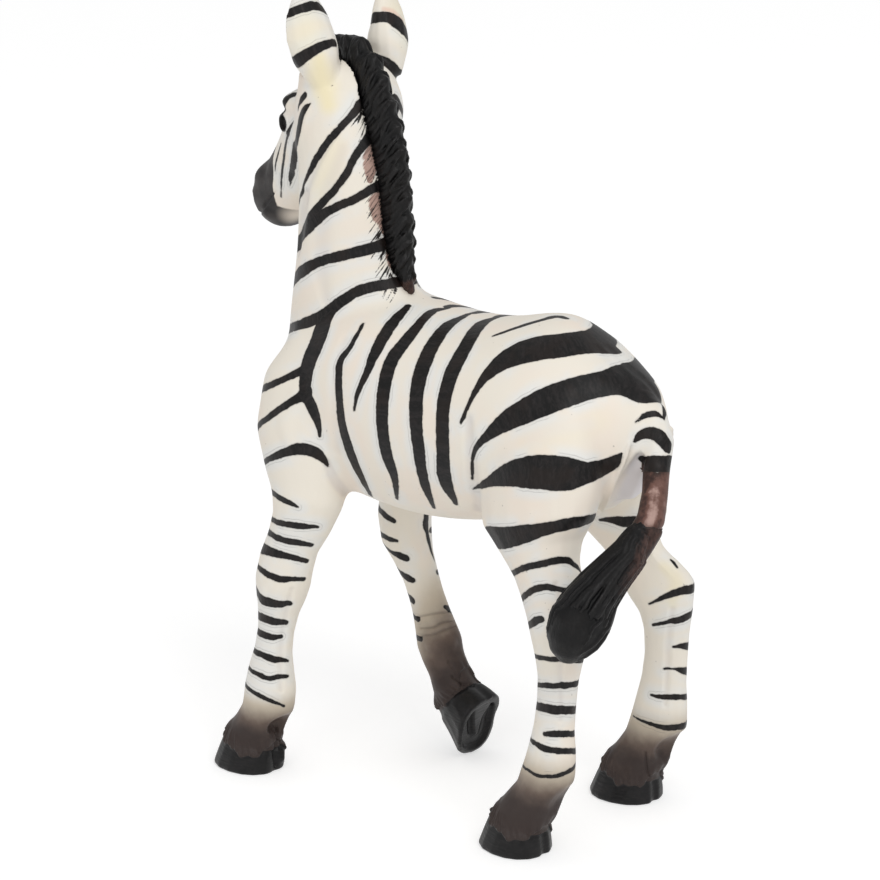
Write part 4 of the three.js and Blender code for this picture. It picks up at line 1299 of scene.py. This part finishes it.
# Hair: a base of each node's own shape with locks laid over it, remeshed into one moulded piece
tuft = {
    "shrink": 0.3,
    "slices": 14,
    "locks": 40,
    "points": 14,
    "twist": 32,  # degrees
    "thickness": 0.58,
    "vary": (0.65, 1.25),
    "lift": 0.22,
    "lifts": (0.4, 1.3),
    "starts": (0.05, 0.5),  # how far along the tuft the second half of the locks start,
    "ends": (0.8, 1.0),  # and how far along all of them end
    "sway": 0.15,
    "fill": 1.0,  # how far it is filled out under the dock,
    "fillAside": (-0.5, 1.5),  # on its right,
    "fillDown": (11, 1),
    "raise": 1.7,  # how far it reaches up there
    "raiseAside": (-0.5, 1.2),
    "raiseDown": (3.5, 0.5),
    "slim": 0.2,  # and how much slimmer its top is
    "slimDown": (4, 0.5),
    "wornAside": (-0.2, 2.2),  # its brown is on its right,
    "wornDown": (14, 3),
    "wornTop": 1.4,  # and further round at its top
    "wornTopDown": (5, 0),
    "jump": 1.5,
    "voxel": 0.15,
    "passes": 3,
}


def addLock(curve, points):
    # one lock: places with their thicknesses
    spline = curve.splines.new("POLY")
    spline.points.add(len(points) - 1)
    for point, (place, thickness) in zip(spline.points, points):
        point.co = (*(place * mm), 1)
        point.radius = thickness / 2


def newLocks(name):
    curve = bpy.data.curves.new(name, "CURVE")
    curve.dimensions = "3D"
    curve.bevel_depth = mm
    curve.bevel_resolution = 1
    curve.use_fill_caps = True
    return curve


def moulded(name, base, curve, voxel, passes):
    # the base and the locks fused into one moulded surface
    locks = bpy.data.objects.new(name + "_locks", curve)
    bpy.context.collection.objects.link(locks)
    depsgraph = bpy.context.evaluated_depsgraph_get()
    mesh = bpy.data.meshes.new_from_object(locks.evaluated_get(depsgraph))
    bm = bmesh.new()
    bm.from_mesh(base.data)
    bm.from_mesh(mesh)
    piece = addMesh(name, bm)
    bpy.data.objects.remove(locks)
    bpy.data.objects.remove(base)
    useModifier(piece, "REMESH", mode="VOXEL", voxel_size=voxel * mm)
    useModifier(piece, "SMOOTH", factor=0.5, iterations=passes)
    piece.data.shade_smooth()
    keepNumbers(piece.data, "relief", reliefOf(piece.data, hair["relief"]))
    return piece


def ontoBase(tree, place, way):
    # where a way out of the hair's middle leaves the base, and how the base faces there
    aim = place + way * hair["reach"]
    return tree.ray_cast(aim, (place - aim).normalized())[:2]


def makeMane():
    # its underside is carried into the neck, and its front end is rounded off
    spots = spotsOf(maneBase.data)
    reach = reachedAlong(manePath)[-1]
    for index, spot in enumerate(spots):
        gone = nearestAlong(manePath, spot)
        place, heading, outward, aside = aroundMane(gone)
        depth = outward.dot(Vector(spot) - place)
        spots[index] -= np.array(outward) * mane["seat"] * smoothStep(*mane["seatDepth"], depth)
        front = smoothStep(reach - mane["front"], reach, gone) * smoothStep(*mane["frontDepth"], depth)
        spots[index] -= np.array(heading * mane["frontBack"] + outward * mane["frontDown"]) * front
    moveSpots(maneBase.data, spots)
    tree = treeOf(maneBase.data)
    curve = newLocks("mane")
    for layer in range(2):
        for side in (-1, 1):
            for step in range(int(reach / mane["spacing"])):
                gone = (step + dice.uniform(0, 1)) * mane["spacing"]
                clump = (round(gone / mane["clump"] - 0.5) + 0.5) * mane["clump"]
                first = dice.uniform(*mane["starts"][1]) if layer else mane["starts"][0]
                last = dice.uniform(*mane["ends"][layer])
                thickness = mane["thickness"] * dice.uniform(*mane["vary"])
                points = []
                for share in np.arange(mane["points"]) / (mane["points"] - 1):
                    run = gone + mane["lean"] * share + (clump - gone) * mane["gather"] * share ** 2
                    place, heading, outward, aside = aroundMane(run)
                    angle = math.radians(first + (last - first) * share)
                    way = aside * side * math.cos(angle) + outward * math.sin(angle)
                    hit, normal = ontoBase(tree, place, way)
                    if hit is None:
                        continue
                    bulge = math.sin(math.pi * min(share * 1.15, 1))
                    width = thickness * (0.55 + 0.6 * bulge) * (1 - 0.75 * share ** 3)
                    puff = mane["puff"] * math.cos(math.pi * (run - clump) / mane["clump"]) * share ** 2
                    points.append((hit + normal * (mane["lift"] + layer * mane["over"] + puff), width))
                if len(points) > 3:
                    addLock(curve, points)
    piece = moulded("mane_hair", maneBase, curve, mane["voxel"], mane["passes"])
    gone, _ = alongPath(manePath, spotsOf(piece.data))
    keepNumbers(piece.data, "worn", smoothStep(*mane["worn"], gone))
    return piece


def makeTuft():
    base = baseOf("tail_tuft", tuft["shrink"])
    spots = spotsOf(base.data)
    dockEnd = np.array(middleOf("tail_dock"))
    _, _, ways = np.linalg.svd(spots - spots.mean(0), full_matrices=False)
    down = ways[0] if (spots.mean(0) - dockEnd) @ ways[0] > 0 else -ways[0]
    path = slicedPath(spots, spots @ down, tuft["slices"])
    reach = reachedAlong(path)[-1]
    gone, away = alongPath(path, spots)
    aside = away @ pictureRight
    fill = tuft["fill"] * smoothStep(*tuft["fillAside"], aside) * smoothStep(*tuft["fillDown"], gone)
    raised = tuft["raise"] * smoothStep(*tuft["raiseAside"], aside) * smoothStep(*tuft["raiseDown"], gone)
    spots = spots + fill[:, None] * pictureRight - raised[:, None] * down
    moveSpots(base.data, spots - away * (tuft["slim"] * smoothStep(*tuft["slimDown"], gone))[:, None])
    tree = treeOf(base.data)
    curve = newLocks("tuft")
    for index in range(tuft["locks"] * 2):
        turn = index / tuft["locks"] * 2 * math.pi + dice.uniform(-0.1, 0.1)
        first = 0 if index < tuft["locks"] else dice.uniform(*tuft["starts"]) * reach
        last = reach * dice.uniform(*tuft["ends"])
        thickness = tuft["thickness"] * dice.uniform(*tuft["vary"])
        lift = dice.uniform(*tuft["lifts"]) * tuft["lift"]
        sway = dice.uniform(-tuft["sway"], tuft["sway"])
        points = []
        for share in np.arange(tuft["points"]) / (tuft["points"] - 1):
            gone = first + (last - first) * share
            place, heading = placeAlong(path, gone)
            across = heading.cross(Vector((0, 0, 1))).normalized()
            other = heading.cross(across)
            angle = turn + math.radians(tuft["twist"]) * gone / reach + sway * math.sin(share * 5)
            hit, normal = ontoBase(tree, place, across * math.cos(angle) + other * math.sin(angle))
            if hit is None or points and (hit - points[-1][0]).length > tuft["jump"]:
                continue
            width = thickness * (0.6 + 0.5 * math.sin(math.pi * share)) * (1 - 0.7 * share ** 4)
            points.append((hit + normal * lift, width))
        if len(points) > 3:
            addLock(curve, points)
    piece = moulded("tail_hair", base, curve, tuft["voxel"], tuft["passes"])
    gone, away = alongPath(path, spotsOf(piece.data))
    aside = away @ pictureRight + tuft["wornTop"] * smoothStep(*tuft["wornTopDown"], gone)
    worn = smoothStep(*tuft["wornAside"], aside) * smoothStep(*tuft["wornDown"], gone)
    keepNumbers(piece.data, "worn", worn)
    return piece


maneHair = makeMane()
tailHair = makeTuft()
print("hair", len(maneHair.data.polygons), len(tailHair.data.polygons))


# Eyes: smooth beads in their sockets
def makeEye(side):
    low, high = boxOf(side + "_eye")
    bm = bmesh.new()
    bmesh.ops.create_icosphere(bm, subdivisions=4, radius=(high - low).mean() / 2 * mm)
    place = (low + high) / 2 - eyeWay(side) * eyeSocket["sink"]
    bmesh.ops.translate(bm, verts=bm.verts, vec=Vector(place) * mm)
    piece = addMesh(side + "_eye_bead", bm)
    piece.data.shade_smooth()
    return piece


eyes = {side + "_eye": makeEye(side) for side in sides}


# Paint. A graph adds the nodes, and a value is one socket with arithmetic.
class Graph:
    def __init__(self, owner):
        self.owner = owner
        owner.use_nodes = True
        self.tree = owner.node_tree
        self.tree.nodes.clear()

    def add(self, kind, settings=None, **sockets):
        node = self.tree.nodes.new(kind)
        for name, setting in (settings or {}).items():
            setattr(node, name, setting)
        for name, value in sockets.items():
            self.feed(node.inputs[int(name[1:]) if name[1:].isdigit() else name.replace("_", " ")], value)
        return node

    def feed(self, socket, value):
        if isinstance(value, Value):
            self.tree.links.new(value.socket, socket)
        elif hasattr(value, "is_output"):
            self.tree.links.new(value, socket)
        else:
            socket.default_value = value

    def number(self, name):
        node = self.add("ShaderNodeAttribute", {"attribute_name": name})
        return Value(self, node.outputs["Fac"])

    def noise(self, scale, detail=3, stretch=(1, 1, 1), roughness=0.5):
        place = self.add("ShaderNodeTexCoord").outputs["Object"]
        mapping = self.add("ShaderNodeMapping", Vector=place, Scale=stretch)
        node = self.add("ShaderNodeTexNoise", Vector=mapping.outputs[0], Scale=scale / mm,
                        Detail=detail, Roughness=roughness)
        return Value(self, node.outputs["Fac"])

    def noiseAt(self, across, along, deep=0.0, detail=2, roughness=0.5):
        # noise over two or three numbers instead of the piece's own place
        place = self.add("ShaderNodeCombineXYZ", i0=across, i1=along, i2=deep)
        node = self.add("ShaderNodeTexNoise", Vector=place.outputs[0], Scale=1.0,
                        Detail=detail, Roughness=roughness)
        return Value(self, node.outputs["Fac"])

    def mix(self, share, one, two):
        node = self.add("ShaderNodeMix", {"data_type": "RGBA"}, i0=share, i6=one, i7=two)
        return node.outputs[2]

    def bump(self, height, distance):
        node = self.add("ShaderNodeBump", Strength=1.0, Distance=distance * mm, Height=height)
        return node.outputs[0]

    def show(self, shader, kind="Material"):
        output = self.add("ShaderNodeOutput" + kind)
        self.tree.links.new(shader.outputs[0], output.inputs[0])
        return self.owner

    def finish(self, **sockets):
        return self.show(self.add("ShaderNodeBsdfPrincipled", **sockets))


class Value:
    def __init__(self, graph, socket):
        self.graph = graph
        self.socket = socket

    def maths(self, operation, *values, clamp=False):
        sockets = {f"i{index}": value for index, value in enumerate(values)}
        node = self.graph.add("ShaderNodeMath", {"operation": operation, "use_clamp": clamp}, **sockets)
        return Value(self.graph, node.outputs[0])

    def __add__(self, other):
        return self.maths("ADD", self, other)

    __radd__ = __add__

    def __mul__(self, other):
        return self.maths("MULTIPLY", self, other)

    __rmul__ = __mul__

    def __sub__(self, other):
        return self.maths("SUBTRACT", self, other)

    def __rsub__(self, other):
        return self.maths("SUBTRACT", other, self)

    def clamped(self):
        return self.maths("ADD", self, 0, clamp=True)

    def size(self):
        return self.maths("ABSOLUTE", self)

    def atLeast(self, other):
        return self.maths("MAXIMUM", self, other)

    def steps(self, low, high):
        # from 0 at the low value to 1 at the high one, eased
        node = self.graph.add("ShaderNodeMapRange", {"interpolation_type": "SMOOTHSTEP"},
                              i0=self, i1=low, i2=high, i3=0, i4=1)
        return Value(self.graph, node.outputs[0])


def rgb(red, green, blue):
    # a colour as it looks on screen, from 0 to 255
    linear = [(part / 255 / 12.92) if part < 11 else ((part / 255 + 0.055) / 1.055) ** 2.4
              for part in (red, green, blue)]
    return (*linear, 1)


coatColours = {
    "cream": rgb(237, 230, 217),
    "cool": rgb(231, 231, 228),
    "warm": rgb(239, 226, 212),
    "ink": rgb(34, 30, 30),
    "inkDeep": rgb(6, 5, 5),
    "inkBrown": rgb(32, 23, 19),
    # the grey of the line beside the stripes, partly painted shade in its groove, and of their soft edge
    "groove": rgb(140, 136, 132),
    "sockEdge": rgb(196, 184, 166),
    "sock": rgb(104, 89, 80),
    "sockDeep": rgb(56, 46, 43),
    "muzzle": rgb(34, 31, 31),
    "muzzleLight": rgb(60, 56, 55),
    "hollow": rgb(120, 104, 96),
    "yellow": rgb(242, 229, 184),
    "blush": rgb(228, 190, 170),
    "shade": rgb(229, 226, 230),
    "fringe": rgb(178, 148, 136),
    "fringeDark": rgb(84, 63, 56),
    "dock": rgb(58, 40, 36),
    "dockMiddle": rgb(108, 77, 68),
    # pale blotches and the painted highlight along the tail's middle
    "dockPaleAndHighlight": rgb(176, 146, 136),
    # painted shade for the carved creases
    "creaseShade": rgb(208, 200, 196),
}

# how strongly each colour is laid over the ones before it
coatAmounts = {
    "wobble": 0.42,  # how ragged the stripes' edges are, in millimetres
    "warm": 0.7,
    "cool": 0.85,
    "yellow": 0.7,
    "blush": 0.8,
    "shade": 0.85,
    # how strong the painted shade in the creases is
    "creaseShade": 0.4,
    "specks": 0.3,
    "hollow": 0.85,
    "dockStart": 0.75,
    "dockEnd": 0.85,
    "hatch": 0.7,
    "groove": 0.25,
    "halo": 0.28,
    "brown": 0.6,
    # how strong the painted reflected light under the chin is
    "chin": 0.95,
}


def coatPaint():
    graph = Graph(bpy.data.materials.new("painted_coat"))
    colours, amounts = coatColours, coatAmounts
    ink = graph.number("ink")
    wobble = graph.noise(0.9, 4, roughness=0.6)
    edge = ink + (wobble - 0.5) * amounts["wobble"]

    # cream, cooler beside the stripes
    patches = graph.noise(0.16, 3)
    warmth = graph.noise(0.09, 2, (1, 1.3, 0.8))
    tint = graph.mix(warmth.steps(0.42, 0.68) * amounts["warm"], colours["cream"], colours["warm"])
    beside = (1 - ink.steps(0.4, 2.1)) * patches.steps(0.38, 0.6)
    tint = graph.mix(beside * amounts["cool"], tint, colours["cool"])
    tint = graph.mix(graph.number("yellow") * amounts["yellow"], tint, colours["yellow"])
    tint = graph.mix(graph.number("blush") * amounts["blush"], tint, colours["blush"])
    tint = graph.mix(graph.number("shade").steps(0.05, 0.7) * amounts["shade"], tint, colours["shade"])
    creases = graph.number("crease")
    # painted shade: greyer deep in the carved creases
    tint = graph.mix(creases.steps(0.4, 3.0) * amounts["creaseShade"], tint, colours["creaseShade"])
    tint = graph.mix(graph.noise(1.7, 1).steps(0.785, 0.8) * amounts["specks"], tint, colours["dock"])
    hollow = graph.number("hollow")
    tint = graph.mix(hollow.steps(0.35, 0.95) * amounts["hollow"], tint, colours["hollow"])

    # airbrushed brown feet
    smudge = graph.noise(0.4, 4)
    sock = graph.number("sock")
    sock = (sock + (smudge - 0.5) * 0.4 * sock).clamped()
    tint = graph.mix(sock.steps(0.0, 0.35), tint, colours["sockEdge"])
    tint = graph.mix(sock.steps(0.25, 0.75), tint, colours["sock"])
    tint = graph.mix(sock.steps(0.6, 1.0), tint, colours["sockDeep"])
    # painted shade: darker brown deep in the creases of the feet
    foldShade = creases.steps(0.5, 3.0) * sock.steps(0.01, 0.15)
    tint = graph.mix(foldShade * amounts["creaseShade"], tint, colours["sockDeep"])

    # the tail's brown: mottled, with a painted highlight along its middle, a little lighter to its right, and
    # nearly black at both ends
    below = graph.number("dock")
    aside = graph.number("dockAside")
    streaks = graph.noiseAt(aside * 1.1, below * 0.12)
    blotch = graph.noise(0.6, 4, roughness=0.6)
    middleHighlight = 1 - (aside + 0.1).size().steps(0.1, 1.2)
    light = middleHighlight * below.steps(0.8, 2.5) * (1 - below.steps(5.0, 8.0)) * 0.6
    light = (light + aside * 0.08 + (blotch - 0.5) * 1.5 + (streaks - 0.5) * 0.6 + 0.3).clamped()
    brown = graph.mix(light.steps(0.05, 0.5), colours["dock"], colours["dockMiddle"])
    brown = graph.mix(light.steps(0.5, 1.0), brown, colours["dockPaleAndHighlight"])
    deep = (below - aside * 1.5 + (streaks - 0.5) * 4 + (blotch - 0.5) * 3).steps(6.5, 10.0)
    brown = graph.mix(deep * amounts["dockEnd"], brown, colours["inkBrown"])
    start = 1 - (below + blotch * 1.5).steps(0.8, 2.2)
    brown = graph.mix(start * amounts["dockStart"], brown, colours["inkBrown"])
    tail = (below + (blotch - 0.5) * 2).steps(-0.3, 0.3)
    tint = graph.mix(tail, tint, brown)

    # the fringe beside the mane is pinkish brown, hatched along its strands
    gap = graph.number("maneGap")
    along = graph.number("maneAlong")
    hatched = graph.noiseAt((along + gap * 0.8) * 2.2, gap * 0.25, detail=3, roughness=0.6)
    brown = graph.mix(hatched.steps(0.48, 0.64) * amounts["hatch"], colours["fringe"], colours["fringeDark"])
    fringed = graph.number("fringe")
    tint = graph.mix((fringed * (0.25 + hatched * 1.5)).steps(0.28, 0.5), tint, brown)

    # black stripes, brushed across, with a thin broken grey line beside them, scratched in and darkened as
    # painted shade in its groove, and a soft grey edge just outside them
    off = 0.22 + graph.noise(0.5, 2) * 0.3
    groove = (1 - (edge - off).size().steps(0.0, 0.09)) * patches.steps(0.5, 0.58)
    tint = graph.mix(groove * (1 - tail) * amounts["groove"], tint, colours["groove"])
    tint = graph.mix((1 - edge.steps(0.0, 0.25)) * (1 - tail) * amounts["halo"], tint, colours["groove"])
    bend = graph.noise(0.35, 2) * 1.6
    brushed = graph.noiseAt(graph.number("flow") * 1.9 + bend, ink * 0.5, bend * 3, 4, 0.65)
    black = graph.mix(brushed.steps(0.38, 0.7), colours["inkDeep"], colours["ink"])
    black = graph.mix(graph.noise(0.3, 3).steps(0.45, 0.65) * amounts["brown"], black, colours["inkBrown"])
    painted = (1 - edge.steps(-0.06, 0.05)) * (1 - hollow.steps(0.02, 0.2))
    # the strands of the fringe, thinner over the brown, and the black along the mane's foot
    hair = graph.number("strands") + (wobble - 0.5) * 0.3 + fringed * 0.12
    painted = painted.atLeast(1 - hair.steps(-0.05, 0.05))
    root = gap + (hatched - 0.5) * 1.4 + (1 - along.steps(0.5, 3.0)) * 1.2
    painted = painted.atLeast(1 - root.steps(0.25, 0.4))
    tint = graph.mix(painted, tint, black)

    # under the chin the dark muzzle gives way to beige, as painted reflected light
    muzzle = (graph.number("muzzle") + (wobble - 0.5) * 0.3).steps(0.4, 0.6)
    grey = graph.mix(smudge.steps(0.35, 0.65), colours["muzzle"], colours["muzzleLight"])
    tint = graph.mix(muzzle * (1 - graph.number("chin") * amounts["chin"]), tint, grey)

    pores = graph.noise(3.5, 3)
    height = pores * 0.12 + painted * (brushed * 0.6 - 0.35) - groove * 0.4 + muzzle * smudge * 0.5
    return graph.finish(Base_Color=tint, Roughness=0.46 - painted * 0.04 + pores * 0.08,
                        Normal=graph.bump(height, 0.1), Specular_IOR_Level=0.26)


def hairPaint():
    # black strands, with a painted highlight on their ridges and painted shade between them, worn to brown at
    # the ends
    graph = Graph(bpy.data.materials.new("painted_hair"))
    relief = graph.number("relief")
    hairs = graph.noise(2.4, 4, (1, 1, 0.5), 0.6)
    dark = graph.mix(graph.noise(0.22, 2).steps(0.45, 0.7), rgb(3, 3, 4), rgb(9, 7, 6))
    light = graph.mix(hairs.steps(0.35, 0.65), rgb(10, 9, 10), rgb(25, 23, 23))
    # painted highlight where the surface stands out, and painted shade where it lies in
    tint = graph.mix(relief.steps(-0.4, 1.4), dark, light)
    worn = (graph.number("worn") + (hairs - 0.5) * 0.5).steps(0.3, 0.95)
    tint = graph.mix(worn * 0.9, tint, graph.mix(hairs.steps(0.35, 0.65), rgb(46, 32, 28), rgb(74, 53, 47)))
    return graph.finish(Base_Color=tint, Roughness=0.5 - relief.steps(0, 1.2) * 0.12,
                        Normal=graph.bump(hairs, 0.08), Specular_IOR_Level=0.24)


def hoofPaint():
    # black walls with growth rings, under the pastern's brown skirt
    graph = Graph(bpy.data.materials.new("painted_hoof"))
    wear = graph.noise(0.8, 4)
    rings = graph.noise(1.5, 3, (0.4, 0.4, 2.2))
    creases = graph.number("crease")
    tint = graph.mix(wear.steps(0.4, 0.65), rgb(7, 6, 7), rgb(20, 18, 19))
    # painted shade: nearly black deep in the creases
    tint = graph.mix(creases.steps(0.1, 1.0) * 0.7, tint, rgb(4, 3, 4))
    skirt = (graph.number("coronet") + (wear - 0.5) * 0.3).steps(-0.05, 0.12)
    brown = graph.mix(creases.steps(0.0, 1.0), coatColours["sockDeep"], coatColours["dock"])
    tint = graph.mix(skirt, tint, brown)
    return graph.finish(Base_Color=tint, Roughness=0.34 + wear * 0.14 + skirt * 0.1,
                        Normal=graph.bump(rings, 0.08), Specular_IOR_Level=0.3)


def eyePaint():
    graph = Graph(bpy.data.materials.new("painted_eye"))
    tint = graph.mix(graph.noise(1.2, 2).steps(0.4, 0.7), rgb(8, 7, 7), rgb(26, 18, 16))
    return graph.finish(Base_Color=tint, Roughness=0.2, Coat_Weight=0.15, Coat_Roughness=0.1)


paints = {"coat": coatPaint(), "hair": hairPaint(), "hoof": hoofPaint(), "eye": eyePaint()}
print("paint mixed")


# Room
room = {
    "floorSize": 6000,
    "floorColour": rgb(246, 246, 246),
    "floorGlow": 1.7,
    "floorShare": 0.3,
    "sky": 0.67,
    "keyPower": 3.5,
    "keySize": 500,
    "keyPlace": (-700, 350, 900),
    "fillPower": 0.9,
    "fillPlace": (-200, 900, 500),
}


def addFloor():
    # paler than its own colour towards the camera, and it keeps the figure's shadow
    bm = bmesh.new()
    bmesh.ops.create_grid(bm, x_segments=1, y_segments=1, size=room["floorSize"] / 2 * mm)
    floor = addMesh("floor", bm)
    graph = Graph(bpy.data.materials.new("floor"))
    rays = graph.add("ShaderNodeLightPath")
    seen = Value(graph, rays.outputs["Is Camera Ray"]) + Value(graph, rays.outputs["Is Glossy Ray"])
    seen = (seen + Value(graph, rays.outputs["Is Transmission Ray"])).clamped()
    plain = graph.add("ShaderNodeBsdfDiffuse", Color=room["floorColour"])
    bright = graph.add("ShaderNodeEmission", Color=(1, 1, 1, 1), Strength=room["floorGlow"])
    mixed = graph.add("ShaderNodeMixShader", i0=seen * room["floorShare"],
                      i1=plain.outputs[0], i2=bright.outputs[0])
    floor.data.materials.append(graph.show(mixed))


def addSky():
    world = bpy.data.worlds.new("room")
    bpy.context.scene.world = world
    graph = Graph(world)
    rays = graph.add("ShaderNodeLightPath")
    seen = Value(graph, rays.outputs["Is Camera Ray"]) + Value(graph, rays.outputs["Is Transmission Ray"])
    light = graph.add("ShaderNodeBackground", Color=(1, 1, 1, 1), Strength=room["sky"])
    shown = graph.add("ShaderNodeBackground", Color=(1, 1, 1, 1), Strength=1.0)
    mixed = graph.add("ShaderNodeMixShader", i0=seen, i1=light.outputs[0], i2=shown.outputs[0])
    graph.show(mixed, "World")


def addLamp(name, place, power, size):
    data = bpy.data.lights.new(name, "AREA")
    data.shape = "DISK"
    data.size = size * mm
    data.energy = power
    lamp = bpy.data.objects.new(name, data)
    lamp.location = Vector(place) * mm
    aim = Vector((0, 0, view["aimUp"])) * mm
    lamp.rotation_euler = (aim - lamp.location).to_track_quat("-Z", "Y").to_euler()
    bpy.context.collection.objects.link(lamp)


addFloor()
addSky()
addLamp("key", room["keyPlace"], room["keyPower"], room["keySize"])
addLamp("fill", room["fillPlace"], room["fillPower"], room["keySize"])
bpy.context.scene.view_settings.view_transform = "Standard"
print("room lit")


# Which body and finish every piece has
def settle(piece, slot, *nodes):
    piece.data.materials.clear()
    piece.data.materials.append(paints[slot])
    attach(piece, "root")
    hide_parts(*nodes)


for node, piece in skinPieces.items():
    settle(piece, "hoof" if node.endswith("hoof") else "coat", node)

settle(maneHair, "hair", "mane")
settle(tailHair, "hair", "tail_tuft")
for node, piece in eyes.items():
    settle(piece, "eye", node)
